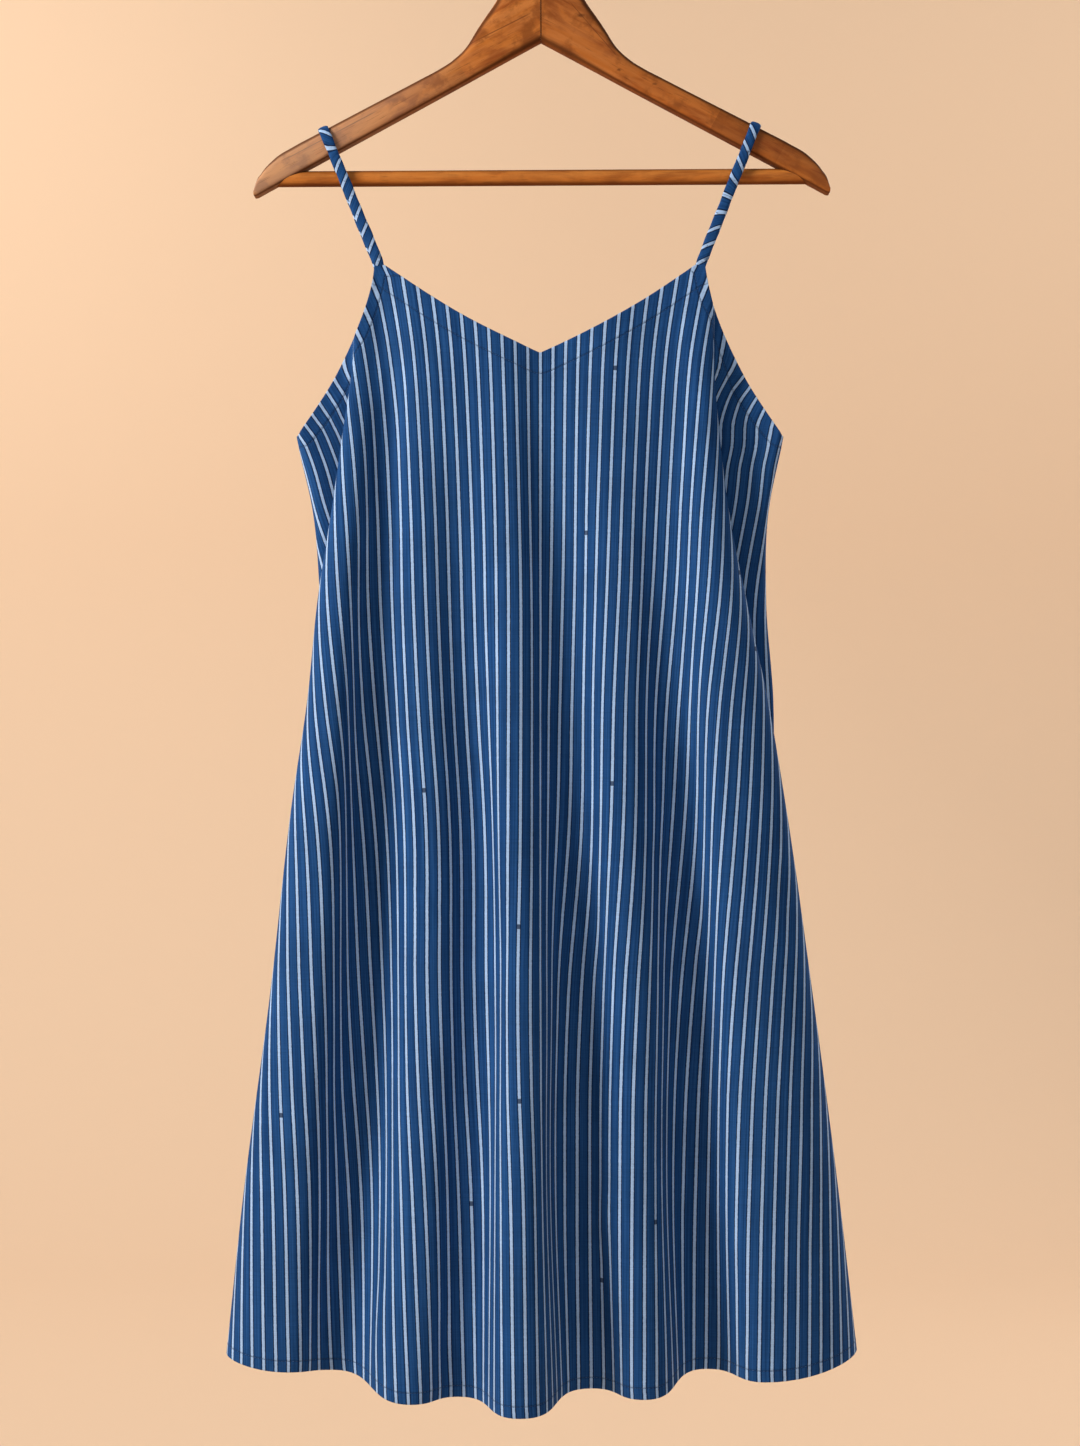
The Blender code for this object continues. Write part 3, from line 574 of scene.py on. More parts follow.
NECK_V_Z = -382.0
NECK_SAG = 4.6
STRAP_POINT_INNER_X = 119.0
STRAP_POINT_OUTER_X = 127.0
STRAP_POINT_Z = -314.0
UNDERARM_Z = -444.0
ARMHOLE_CURVE = 1.55
BACK_STRAP_X = 94.5
BACK_STRAP_Z = -387.0
BACK_STRAP_HALF_WIDTH = 4.3
BACK_NECK_DROP = 8.0
BACK_ARMHOLE_CURVE = 0.8

LEVELS = np.array([-315.0, -380.0, -450.0, -500.0, -572.0, -650.0, -724.0, -874.0, -1023.0, -1150.0])
UNDERARM_LEVEL = 2
# Each fold line: its kind, the height of its foot, and its x and y at the levels
Fold = namedtuple("Fold", "name kind hem x y")
FRONT_FOLDS = [
    Fold("side_left", "plain", -1148, (-194, -194, -183, -172, -167, -167, -169, -189, -211, -230),
         (-5, -5, -5, -4, -2, 1, 4, 5, 7, 8)),
    Fold("tuck_left", "turn", -1147, (-146, -146, -135, -135, -140, -157, -177, -199, -220, -236),
         (-8, -8, -9, -9, -8, -5, -3, -5, -3, -1)),
    Fold("edge_left", "turn", -1147, (-143, -143, -152, -159, -170, -178, -189, -206, -226, -240),
         (-10, -12, -16, -17, -18, -19, -20, -22, -21, -17)),
    Fold("crest_1", "crest", -1154, (-133, -139, -143, -146, -153, -157, -162, -172, -183, -190),
         (-12, -14, -22, -27, -32, -36, -39, -43, -45, -45)),
    Fold("trough_1", "trough", -1158, (-121, -119, -117, -119, -126, -129, -131, -134, -144, -157),
         (-11, -11, -12, -13, -13, -12, -10, -12, -18, -24)),
    Fold("crest_2", "crest", -1172, (-96, -93, -92, -91, -90, -88, -85, -83, -89, -95),
         (-13, -17, -21, -23, -25, -28, -31, -45, -56, -64)),
    Fold("trough_2", "trough", -1172, (-69, -65, -63, -61, -58, -54, -50, -47, -53, -60),
         (-14, -17, -19, -18, -17, -17, -18, -32, -41, -45)),
    Fold("crest_3", "crest", -1176, (-31, -29, -27, -25, -21, -20, -20, -14, -16, -15),
         (-15, -19, -23, -25, -28, -33, -40, -61, -75, -84)),
    Fold("trough_3", "trough", -1170, (6, 5, 8, 11, 15, 19, 23, 28, 28, 38),
         (-13, -15, -14, -12, -10, -11, -14, -22, -27, -31)),
    Fold("crest_4", "crest", -1171, (50, 50, 52, 55, 61, 62, 62, 71, 72, 77),
         (-14, -18, -21, -23, -26, -30, -35, -44, -51, -56)),
    Fold("trough_4", "trough", -1160, (98, 98, 98, 97, 95, 101, 108, 115, 117, 127),
         (-12, -14, -17, -17, -16, -13, -10, -11, -13, -15)),
    Fold("crest_5", "crest", -1162, (120, 124, 125, 129, 135, 139, 142, 152, 160, 169),
         (-12, -17, -24, -29, -33, -34, -34, -36, -40, -43)),
    Fold("edge_right", "turn", -1149, (133, 133, 138, 144, 158, 175, 188, 210, 230, 245),
         (-11, -12, -15, -16, -16, -14, -10, -5, -1, 2)),
    Fold("tuck_right", "turn", -1149, (138, 137, 121, 127, 139, 163, 186, 209, 228, 242),
         (-8, -8, -9, -9, -8, -5, 3, 8, 12, 14)),
    Fold("side_right", "plain", -1151, (195, 195, 184, 174, 172, 180, 183, 200, 220, 236),
         (-5, -5, -5, -4, -2, 2, 9, 13, 17, 19)),
]
BACK_FOLDS = [
    Fold("side_left", "plain", -1149, (-194, -194, -184, -173, -165, -160, -158, -172, -193, -212),
         (7, 7, 7, 7, 9, 12, 15, 22, 24, 25)),
    Fold("crest_1", "crest", -1155, (-150, -150, -150, -148, -146, -145, -146, -154, -170, -184),
         (9, 9, 11, 13, 16, 20, 24, 34, 40, 43)),
    Fold("trough_1", "trough", -1157, (-118, -118, -118, -117, -116, -116, -116, -122, -133, -143),
         (8, 8, 9, 10, 11, 11, 12, 16, 19, 22)),
    Fold("crest_2", "crest", -1166, (-84, -84, -84, -83, -82, -83, -84, -90, -98, -104),
         (9, 9, 12, 15, 18, 23, 28, 42, 50, 56)),
    Fold("trough_2", "trough", -1167, (-46, -46, -46, -46, -46, -48, -50, -54, -58, -62),
         (9, 9, 10, 11, 12, 13, 14, 20, 25, 29)),
    Fold("crest_3", "crest", -1171, (-8, -8, -8, -8, -8, -9, -10, -12, -14, -14),
         (9, 9, 13, 16, 20, 26, 32, 46, 55, 61)),
    Fold("trough_3", "trough", -1168, (32, 32, 32, 33, 34, 35, 36, 36, 34, 32),
         (9, 9, 10, 11, 12, 13, 15, 19, 23, 26)),
    Fold("crest_4", "crest", -1168, (70, 70, 70, 71, 72, 74, 76, 78, 82, 84),
         (9, 9, 12, 14, 17, 22, 27, 40, 49, 55)),
    Fold("trough_4", "trough", -1162, (106, 106, 106, 106, 106, 107, 108, 114, 120, 126),
         (8, 8, 9, 9, 10, 11, 13, 17, 20, 24)),
    Fold("crest_5", "crest", -1158, (146, 146, 146, 144, 142, 143, 146, 154, 170, 184),
         (9, 9, 11, 13, 16, 19, 23, 33, 38, 42)),
    Fold("side_right", "plain", -1152, (195, 195, 184, 175, 169, 166, 164, 182, 203, 220),
         (7, 7, 7, 7, 9, 13, 17, 25, 29, 32)),
]
SEAM_LEFT = Fold(
    "seam_left", "plain", -1148, (-197, -197, -187, -176, -170, -165, -163, -179, -201, -220),
    (1, 1, 1, 2, 4, 7, 9, 13, 14, 14),
)
SEAM_RIGHT = Fold(
    "seam_right", "plain", -1151, (199, 199, 187, 177, 175, 180, 175, 188, 210, 227),
    (1, 1, 1, 2, 4, 8, 13, 18, 21, 23),
)
REACH = {"crest": 1.4, "trough": 1.4, "turn": 0.8, "plain": 1.0}
PLAIN_REACH_LIMIT = 2.5
FULL_TUCK = 8.0
RING = [SEAM_LEFT] + FRONT_FOLDS + [SEAM_RIGHT] + BACK_FOLDS[::-1]
FRONT_START = 0
FRONT_END = len(FRONT_FOLDS) + 1
BACK_END = len(RING)

# How far the stripes spread left and right of the middle at each of the levels, as a share of the woven
# pitch, and where the middle stripe runs
FRONT_SPREAD_LEFT = (1.13, 1.03, 0.99, 0.99, 1.0, 1.0, 1.0, 1.0, 1.0, 1.0)
FRONT_SPREAD_RIGHT = (1.12, 1.02, 0.975, 0.965, 0.97, 0.97, 1.0, 1.03, 1.03, 1.03)
BACK_SPREAD = (1.04, 1.03, 1.0, 1.0, 1.0, 1.0, 1.0, 1.0, 1.0, 1.0)
FRONT_MIDDLE_X = (0.3, 0.3, 0.3, 0.3, 0.3, 0.3, 0.3, 0.4, 1.8, 4.8)
BACK_MIDDLE_X = (0.0,) * len(LEVELS)
# The places of a tuck's outer edge and of its fold along the ring, and how sharply one side gives way
# to the other. Then how much cloth the two tucks of the front hide, from the strap points down
TUCK_EDGE = 3.0
TUCK_FOLD = 2.75
TUCK_SHARPNESS = 8.0
Tuck = namedtuple("Tuck", "height left right")
TUCKS = [
    Tuck(-315, 44.0, 34.5),
    Tuck(-380, 22.0, 20.5),
    Tuck(-409, 10.0, 13.0),
    Tuck(-432, 0.0, 1.0),
    Tuck(-450, -4.5, -9.5),
    Tuck(-471, -7.0, -10.5),
    Tuck(-500, -9.5, -9.5),
    Tuck(-572, -6.0, -8.0),
    Tuck(-650, -2.0, -5.0),
    Tuck(-724, 0.0, 0.0),
    Tuck(-1190, 0.0, 0.0),
]

# Small creases, as ridges (height above the flutes) or troughs (below), each from its head to its foot
Crease = namedtuple("Crease", "head_x head_z foot_x foot_z width height")
FRONT_CREASES = [
    Crease(-108, -350, -134, -455, 6.0, 0.9),
    Crease(-99, -362, -121, -500, 7.0, -0.8),
    Crease(112, -352, 132, -470, 6.0, 0.9),
    Crease(104, -370, 113, -520, 7.0, -0.7),
    Crease(-40, -520, -46, -640, 7.0, 0.7),
    Crease(4, -560, 10, -660, 6.0, 0.7),
    Crease(66, -560, 74, -690, 7.0, -0.7),
    Crease(-101, -780, -72, -822, 4.5, 1.1),
    Crease(-88, -792, -64, -818, 4.0, -0.7),
    Crease(-20, -760, -28, -880, 6.0, -0.7),
    Crease(42, -790, 43, -862, 4.5, -1.3),
    Crease(96, -690, 84, -770, 6.0, 0.7),
    Crease(118, -775, 123, -845, 4.5, -1.2),
    Crease(181, -765, 190, -835, 5.0, -1.2),
    Crease(-85, -900, -80, -940, 4.0, 0.9),
    Crease(-152, -940, -160, -1090, 7.0, 0.9),
    Crease(196, -930, 206, -1060, 7.0, 1.0),
    Crease(50, -1010, 47, -1075, 5.0, 1.0),
    Crease(-118, -1080, -124, -1168, 4.5, 1.3),
    Crease(-70, -1100, -69, -1172, 5.0, -1.6),
    Crease(150, -1060, 158, -1150, 6.0, -0.9),
]
BACK_CREASES = [
    Crease(-118, -420, -132, -560, 8.0, 1.0),
    Crease(112, -415, 128, -540, 8.0, 1.1),
    Crease(-88, -400, -66, -520, 8.0, -0.9),
    Crease(86, -402, 62, -500, 7.0, -0.8),
    Crease(-20, -430, -30, -560, 8.0, 0.6),
    Crease(38, -610, 30, -720, 7.0, 0.9),
    Crease(-60, -640, -52, -760, 7.0, -0.8),
    Crease(-100, -760, -74, -800, 5.0, 1.0),
    Crease(116, -740, 124, -850, 6.0, 0.9),
    Crease(96, -880, 104, -1000, 6.0, -0.9),
    Crease(-130, -900, -138, -1020, 6.0, 0.9),
    Crease(10, -1060, 14, -1150, 5.0, -1.2),
    Crease(150, -1010, 158, -1130, 6.0, 1.0),
    Crease(-176, -1040, -186, -1140, 6.0, -0.9),
]


def unit(vectors):
    """Vectors of length one along the last axis."""
    return vectors / np.maximum(np.linalg.norm(vectors, axis=-1, keepdims=True), 1e-9)


def at_heights(table, heights):
    """Smooth curves through a table's values at the levels."""
    return smooth_between(-LEVELS, table, -np.asarray(heights, dtype=float))


def ring_at(heights):
    """Places, directions and reaches of every fold line at each height."""
    places = np.stack([at_heights([fold[axis] for fold in RING], heights) for axis in (3, 4)], axis=-1)
    ahead = np.roll(places, -1, axis=0) - places
    behind = np.roll(ahead, 1, axis=0)
    length_ahead, length_behind = np.linalg.norm(ahead, axis=-1), np.linalg.norm(behind, axis=-1)
    directions = unit(unit(ahead) + unit(behind))
    reach_ahead, reach_behind = np.empty_like(length_ahead), np.empty_like(length_ahead)
    for index, fold in enumerate(RING):
        if fold.kind in ("crest", "trough"):
            directions[index] = (1.0 if index <= FRONT_END else -1.0, 0.0)
        reach_ahead[index] = REACH[fold.kind] * length_ahead[index]
        reach_behind[index] = REACH[fold.kind] * length_behind[index]
        if fold.kind == "plain":
            limit = PLAIN_REACH_LIMIT * np.minimum(length_ahead[index], length_behind[index])
            reach_ahead[index] = np.minimum(reach_ahead[index], limit)
            reach_behind[index] = np.minimum(reach_behind[index], limit)
    for tuck, edge, depthwise in ((2, 3, -1.0), (FRONT_END - 2, FRONT_END - 3, 1.0)):
        overlap = (places[tuck, :, 0] - places[edge, :, 0]) * (-depthwise)
        share = np.clip(overlap / FULL_TUCK, 0.0, 1.0)[:, None]
        directions[tuck] = unit(share * np.array([0.0, depthwise]) + (1.0 - share) * directions[tuck])
        directions[edge] = (0.0, depthwise)
    return places, directions, reach_ahead, reach_behind


def between_lines(ring, place):
    """X and Y of the cloth's outer face at a place along a ring of folds."""
    spots, directions, reach_ahead, reach_behind = ring
    first = int(math.floor(place)) % len(RING)
    second = (first + 1) % len(RING)
    p = place - math.floor(place)
    leave = directions[first] * reach_ahead[first][:, None]
    arrive = directions[second] * reach_behind[second][:, None]
    return cubic(p, spots[first], leave, spots[second], arrive)


def underarm_x(x):
    """Distance from the middle to the side seam at the underarm, on the side of x."""
    return abs((SEAM_LEFT if x < 0 else SEAM_RIGHT).x[UNDERARM_LEVEL])


def front_top(x):
    """Height of the front's top edge: V neck, strap points and armholes."""
    away = abs(x)
    if away < STRAP_POINT_INNER_X:
        share = away / STRAP_POINT_INNER_X
        return NECK_V_Z + (STRAP_POINT_Z - NECK_V_Z) * share - NECK_SAG * math.sin(math.pi * share)
    if away < STRAP_POINT_OUTER_X:
        return STRAP_POINT_Z
    share = min((away - STRAP_POINT_OUTER_X) / (underarm_x(x) - STRAP_POINT_OUTER_X), 1.0)
    return STRAP_POINT_Z + (UNDERARM_Z - STRAP_POINT_Z) * share ** (1.0 / ARMHOLE_CURVE)


def back_top(x):
    """Height of the back's top edge: a shallow neck between the straps and the armholes."""
    away = abs(x)
    inner, outer = BACK_STRAP_X - BACK_STRAP_HALF_WIDTH, BACK_STRAP_X + BACK_STRAP_HALF_WIDTH
    if away < inner:
        return BACK_STRAP_Z - BACK_NECK_DROP * (1.0 - (away / inner) ** 2)
    if away < outer:
        return BACK_STRAP_Z
    share = min(max(underarm_x(x) - away, 0.0) / (underarm_x(x) - outer), 1.0)
    return UNDERARM_Z + (BACK_STRAP_Z - UNDERARM_Z) * share**BACK_ARMHOLE_CURVE


def hem_height(place):
    """Height of the hem at a place along the ring, easing between the fold lines' feet."""
    first = int(math.floor(place)) % len(RING)
    p = place - math.floor(place)
    ease = 3 * p**2 - 2 * p**3
    return RING[first].hem * (1.0 - ease) + RING[(first + 1) % len(RING)].hem * ease


# A dense table of sections, from which every column of cloth takes its places and widths
TABLE_HEIGHTS = np.arange(-305.0, -1184.0, -3.0)
SECTION_RING = ring_at(TABLE_HEIGHTS)
COLUMNS = {"flute": 18, "turned": 8, "beside_turn": 14, "side": 16, "seam": 4}


def column_places(start, end):
    """Places between two seams, close together where the cloth bends."""
    places = [float(start)]
    for span in range(start, end):
        kinds = {RING[span].kind, RING[(span + 1) % len(RING)].kind}
        spacing = "flute"
        if kinds == {"turn"}:
            spacing = "turned"
        elif kinds == {"plain"}:
            spacing = "seam"
        elif "plain" in kinds:
            spacing = "side"
        elif "turn" in kinds:
            spacing = "beside_turn"
        places += [span + (index + 1) / COLUMNS[spacing] for index in range(COLUMNS[spacing])]
    return np.array(places)


EDGE_ROWS = [0.0, 0.3, 0.8, 1.6, 2.8, 4.2, 5.8, 7.2, 8.3, 9.2, 10.4, 12.4, 14.6, 16.0, 17.4, 20.0, 24.0, 29.0]
MIDDLE_ROWS = 135


def column_heights(top, foot):
    """Heights down one column, close together at its two ends."""
    edge_rows = np.array(EDGE_ROWS)
    middle = np.linspace(top - edge_rows[-1], foot + edge_rows[-1], MIDDLE_ROWS + 2)[1:-1]
    return np.concatenate([top - edge_rows, middle, foot + edge_rows[::-1]])


def distance_to(points, line):
    """Distance of every point in the flat cloth to a line of points."""
    finer = np.concatenate([np.linspace(a, b, 6)[:-1] for a, b in zip(line[:-1], line[1:])] + [line[-1:]])
    flat = points.reshape(-1, 2)
    nearest = np.empty(len(flat))
    for first in range(0, len(flat), 4000):
        block = flat[first : first + 4000]
        nearest[first : first + 4000] = np.sqrt(((block[:, None] - finer[None]) ** 2).sum(-1).min(1))
    return nearest.reshape(points.shape[:2])


def stretched_on(line, reach):
    """A line of flat points carried straight on past its two ends."""
    head, foot = unit(line[0] - line[4]), unit(line[-1] - line[-5])
    return np.concatenate([[line[0] + reach * head], line, [line[-1] + reach * foot]])


def crease_heights(creases, x, z):
    """How far the creases lift the cloth at points seen from the front or back."""
    lift = np.zeros_like(x)
    for crease in creases:
        head, foot = np.array([crease.head_x, crease.head_z]), np.array([crease.foot_x, crease.foot_z])
        run = foot - head
        length = np.linalg.norm(run)
        along = ((x - head[0]) * run[0] + (z - head[1]) * run[1]) / length**2
        across = ((x - head[0]) * run[1] - (z - head[1]) * run[0]) / length
        taper = np.sin(np.pi * np.clip(along, 0.0, 1.0)) ** 1.3
        lift += crease.height * taper * np.exp(-((across / crease.width) ** 2))
    return lift


# How far either side of the middle its stripe is looked for, how far edges are carried on past their
# ends, and a distance from every edge for the allowances of the side seams
CENTRAL_HALF_WIDTH = 60.0
LINE_OVERRUN = 40.0
FAR_FROM_EDGE = 200.0
Cloth = namedtuple("Cloth", "outer normals flat from_neck from_armhole from_hem")


def lay_cloth(start, end, edge, spread, middle_x, creases, neck_points):
    """The outer face of one panel on its fold lines, with its flat coordinates and edge distances."""
    places = column_places(start, end)
    sections = np.array([between_lines(SECTION_RING, place) for place in places])
    widths = np.linalg.norm(np.diff(sections, axis=0), axis=-1)
    arc = np.concatenate([np.zeros((1, len(TABLE_HEIGHTS))), np.cumsum(widths, axis=0)])
    run_across = 1.0 if start == FRONT_START else -1.0
    middle = np.empty(len(TABLE_HEIGHTS))
    central = np.abs(sections[:, 0, 0]) < CENTRAL_HALF_WIDTH
    for row, height in enumerate(TABLE_HEIGHTS):
        xs, lengths = sections[central, row, 0], arc[central, row]
        order = np.argsort(xs)
        middle[row] = np.interp(at_heights(middle_x, height).item(), xs[order], lengths[order])
    arc = (arc - middle[None]) * run_across
    rows = 2 * len(EDGE_ROWS) + MIDDLE_ROWS
    outer = np.empty((len(places), rows, 3))
    flat_arc = np.empty((len(places), rows))
    falling = -TABLE_HEIGHTS
    for index, place in enumerate(places):
        top = UNDERARM_Z
        for _ in range(60):
            x = np.interp(-top, falling, sections[index, :, 0])
            top += 0.5 * (edge(x) - top)
        heights = column_heights(top, hem_height(place))
        outer[index, :, :2] = between_lines(ring_at(heights), place)
        outer[index, :, 2] = heights
        flat_arc[index] = np.interp(-heights, falling, arc[index])
    flat = np.stack([flat_arc, outer[..., 2]], axis=-1)
    normals = unit(np.cross(np.gradient(outer, axis=1), np.gradient(outer, axis=0)))
    for column, inward in ((0, 1.0), (-1, -1.0)):
        ring = ring_at(outer[column, :, 2])
        along = unit(between_lines(ring, places[column] + 0.25) - between_lines(ring, places[column] - 0.25))
        normals[column] = np.stack([along[:, 1], -along[:, 0], np.zeros(rows)], axis=-1)
        outer[column, :, :2] += inward * along * SIDE_SEAM_GAP / 2
    top_x = outer[:, 0, 0]
    neck = np.abs(top_x) <= neck_points
    from_neck, *armholes = (
        distance_to(flat, stretched_on(flat[part, 0], LINE_OVERRUN))
        for part in (neck, top_x < -neck_points, top_x > neck_points)
    )
    from_armhole = np.minimum(*armholes)
    from_hem = distance_to(flat, flat[:, -1])
    lift = crease_heights(creases, outer[..., 0], outer[..., 2])
    across = flat[..., 0] / np.where(flat[..., 0] < 0, *(at_heights(table, outer[..., 2]) for table in spread))
    if start == FRONT_START:
        lift *= ((places >= TUCK_EDGE) & (places <= FRONT_END - TUCK_EDGE))[:, None]
        heights, left_tuck, right_tuck = (np.array(column, dtype=float) for column in zip(*TUCKS))
        past_left = np.clip((TUCK_FOLD - places) * TUCK_SHARPNESS, 0.0, 1.0)[:, None]
        past_right = np.clip((places - (FRONT_END - TUCK_FOLD)) * TUCK_SHARPNESS, 0.0, 1.0)[:, None]
        across -= past_left * smooth_between(-heights, left_tuck, -outer[..., 2])
        across += past_right * smooth_between(-heights, right_tuck, -outer[..., 2])
    across -= np.sign(flat[..., 0]) * ARMHOLE_PULL * np.maximum(ARMHOLE_TURNING - from_armhole, 0.0)
    outer += lift[..., None] * normals
    twist = sum(size * np.sin(flat[..., 0] / length) for size, length in HEM_TWISTS)
    across = across + twist * np.clip(1.0 - from_hem / HEM_TURNING, 0.0, 1.0)
    down = -outer[..., 2]
    return Cloth(outer, normals, np.stack([across, down], axis=-1), from_neck, from_armhole, from_hem)


def turned_share(cloth):
    """One where the cloth is turned in and doubled at an edge, and nought past its stitches."""
    share = np.zeros(cloth.from_neck.shape)
    for distance, turning in (
        (cloth.from_neck, NECK_TURNING),
        (cloth.from_armhole, ARMHOLE_TURNING),
        (cloth.from_hem, HEM_TURNING),
    ):
        share = np.maximum(share, np.clip((turning + 0.4 - distance) / 0.8, 0.0, 1.0))
    return share


def shell_piece(name, cloth, finish):
    """A thin two-faced cloth from its outer face, with allowances turned in along the side seams."""
    outer, normals, flat = cloth.outer, cloth.normals, cloth.flat
    rolled = np.minimum.reduce([cloth.from_neck, cloth.from_armhole, cloth.from_hem])
    roll = EDGE_ROLL * np.clip(1.0 - rolled, 0.0, 1.0) ** 2
    thickness = CLOTH_THICKNESS + TURNED_THICKNESS * turned_share(cloth)
    skin = outer - roll[..., None] * normals
    lining = outer - (thickness - roll)[..., None] * normals
    skin_rows, lining_rows, flat_rows = [skin], [lining], [flat]
    for column, before in ((0, True), (-1, False)):
        for depth in ALLOWANCE_STEPS:
            away = normals[column] * depth
            toward = unit(outer[column] - outer[1 if before else -2])
            sheet = outer[column] - away
            under = sheet - toward * CLOTH_THICKNESS * 0.8
            beyond = flat[column] + np.array([(depth if (flat[column, 5, 0] > 0) else -depth), 0.0])
            for columns, value in ((skin_rows, sheet), (lining_rows, under), (flat_rows, beyond)):
                columns.insert(0 if before else len(columns), value[None])
    skin, lining = np.concatenate(skin_rows), np.concatenate(lining_rows)
    flat = np.concatenate(flat_rows)
    columns, rows = skin.shape[:2]
    count = columns * rows
    grid = np.arange(count).reshape(columns, rows)
    a, b, c, d = grid[:-1, :-1], grid[1:, :-1], grid[1:, 1:], grid[:-1, 1:]
    faces = np.stack([a, d, c, b], -1).reshape(-1, 4).tolist()
    faces += (np.stack([a, b, c, d], -1).reshape(-1, 4) + count).tolist()
    for row, order in ((0, 1), (rows - 1, -1)):
        for column in range(columns - 1):
            near, far = grid[column, row], grid[column + 1, row]
            faces.append([near, far, far + count, near + count][::order])
    for column, order in ((0, -1), (columns - 1, 1)):
        for row in range(rows - 1):
            near, far = grid[column, row], grid[column, row + 1]
            faces.append([near, far, far + count, near + count][::order])
    piece = make_piece(name, np.concatenate([skin.reshape(-1, 3), lining.reshape(-1, 3)]), faces, finish, 75.0)
    uv = piece.data.uv_layers.new(name="cloth")
    corners = np.empty(len(piece.data.loops), dtype=np.int64)
    piece.data.loops.foreach_get("vertex_index", corners)
    both = np.tile(flat.reshape(-1, 2), (2, 1)) / 1000.0
    uv.data.foreach_set("uv", both[corners].astype(np.float32).ravel())
    return piece, columns


weave_group, (cloth, thread), result = new_group(
    "fine_weave", [("Cloth", "Vector", None), ("Thread", "Float", 0.42)], ("Height", "Slub")
)
in_mm = stretched(cloth, (1000.0, 1000.0, 1000.0))
across, down = add_node(weave_group, "ShaderNodeSeparateXYZ", {0: in_mm}, ("X", "Y"))
warp, weft = ((way / thread * (2 * math.pi)).maths("SINE") for way in (across, down))
slub = noise(stretched(in_mm, (1.7, 0.035, 1.0))) * 0.65 + noise(stretched(in_mm, (0.06, 1.5, 1.0))) * 0.35
feed(result, {"Slub": slub, "Height": slub * 1.2 + (warp * weft * 0.5 + 0.5) * 0.5})

stripe_group, (cloth, pitch, width, broken_share), result = new_group(
    "pinstripe",
    [
        ("Cloth", "Vector", None),
        ("Pitch", "Float", STRIPE_PITCH),
        ("Width", "Float", STRIPE_WIDTH),
        ("Broken Share", "Float", 0.0018),
    ],
    ("Stripe", "Hairline", "Streak", "Weft Line"),
)
in_mm = stretched(cloth, (1000.0, 1000.0, 1000.0))
across, down = add_node(stripe_group, "ShaderNodeSeparateXYZ", {0: in_mm}, ("X", "Y"))
cell = across / pitch + 0.5
number = cell.maths("FLOOR")
away = abs(cell.maths("FRACT") - 0.5) * pitch + (noise(stretched(in_mm, (0.5, 0.45, 1.0))) - 0.5) * 0.5
half = width * 0.5
patch = down / 8.0 + number * 0.37
patch_at = add_node(stripe_group, "ShaderNodeCombineXYZ", {"X": number, "Y": patch.maths("FLOOR")})
chance = add_node(stripe_group, "ShaderNodeTexWhiteNoise", {"Vector": patch_at}, "Value", noise_dimensions="2D")
gap = chance.maths("LESS_THAN", broken_share) * fade(abs(patch.maths("FRACT") - 0.5), 0.26, 0.18)
streak = noise(stretched(in_mm, (0.62, 0.0035, 1.0)), detail=3.0, roughness=0.65)
weft_line = noise(stretched(in_mm, (0.02, 0.9, 1.0)))
feed(result, {
    "Stripe": fade(away, half + 0.16, half - 0.16) * (1.0 - gap * 0.85),
    "Hairline": fade(away, half + 1.05, half + 0.60),
    "Streak": fade(streak, 0.30, 0.70),
    "Weft Line": fade(weft_line, 0.30, 0.70),
})

BLUE = (0.007, 0.053, 0.184)
LIGHT_BLUE = (0.021, 0.103, 0.305)
NAVY = (0.002, 0.014, 0.060)
STRIPE_WHITE = (0.49, 0.69, 1.0)
TURNINGS = {"from_neck": NECK_TURNING, "from_armhole": ARMHOLE_TURNING, "from_hem": HEM_TURNING}


def pinstriped_cotton(name, sewn):
    """Yarn-dyed shirting. Where sewn, the stitched lines draw the cloth in beside the edges, with painted shade in
    their grooves.
    """
    finish, tree, surface = new_finish(name)
    cloth = add_node(tree, "ShaderNodeUVMap", uv_map="cloth")
    outs = ("Stripe", "Hairline", "Streak", "Weft Line")
    stripe, hairline, streak, weft_line = add_node(
        tree, "ShaderNodeGroup", {"Cloth": cloth}, outs, node_tree=stripe_group
    )
    height, slub = add_node(tree, "ShaderNodeGroup", {"Cloth": cloth}, ("Height", "Slub"), node_tree=weave_group)
    ground = tint(hairline * 0.95, tint(streak, BLUE, LIGHT_BLUE), NAVY)
    shown = stripe * 0.95
    if not sewn:
        shown = shown * fade(noise(cloth, 260.0), 0.30, 0.44, 0.35, 1.0)
    shade = fade(noise(cloth, 22.0, 3.0), 0.3, 0.7, 0.93, 1.04) + fade(weft_line, 0.0, 1.0, -0.03, 0.03)
    shade = shade * fade(slub, 0.35, 0.65, 0.88, 1.10)
    relief = noise(cloth, 46.0, 3.0) * 0.0006 + height * 0.00009
    if sewn:
        gathers = noise(stretched(cloth, (330.0, 40.0, 1.0)), detail=1.0)
        for label, turning in TURNINGS.items():
            off = abs(add_node(tree, "ShaderNodeAttribute", out="Fac", attribute_name=label) - turning)
            groove = fade(off, 1.3, 0.0)
            relief = relief - groove * 0.00035 + fade(off, 6.0, 0.5) * gathers * 0.0007
            # Painted shade along each stitched groove
            shade = shade * fade(groove, 0.0, 1.0, 1.0, 0.72)
    grey = add_node(tree, "ShaderNodeCombineColor", {0: shade, 1: shade, 2: shade})
    feed(surface, {
        "Base Color": tint(1.0, tint(shown, ground, STRIPE_WHITE), grey, "MULTIPLY"),
        "Roughness": fade(slub, 0.3, 0.7, 0.90, 0.76),
        "Specular IOR Level": 0.14,
        "Sheen Weight": 0.05,
        "Sheen Roughness": 0.45,
        "Sheen Tint": (0.40, 0.60, 1.0, 1.0),
        "Normal": bumped(relief, 0.8, 1.0),
    })
    return finish


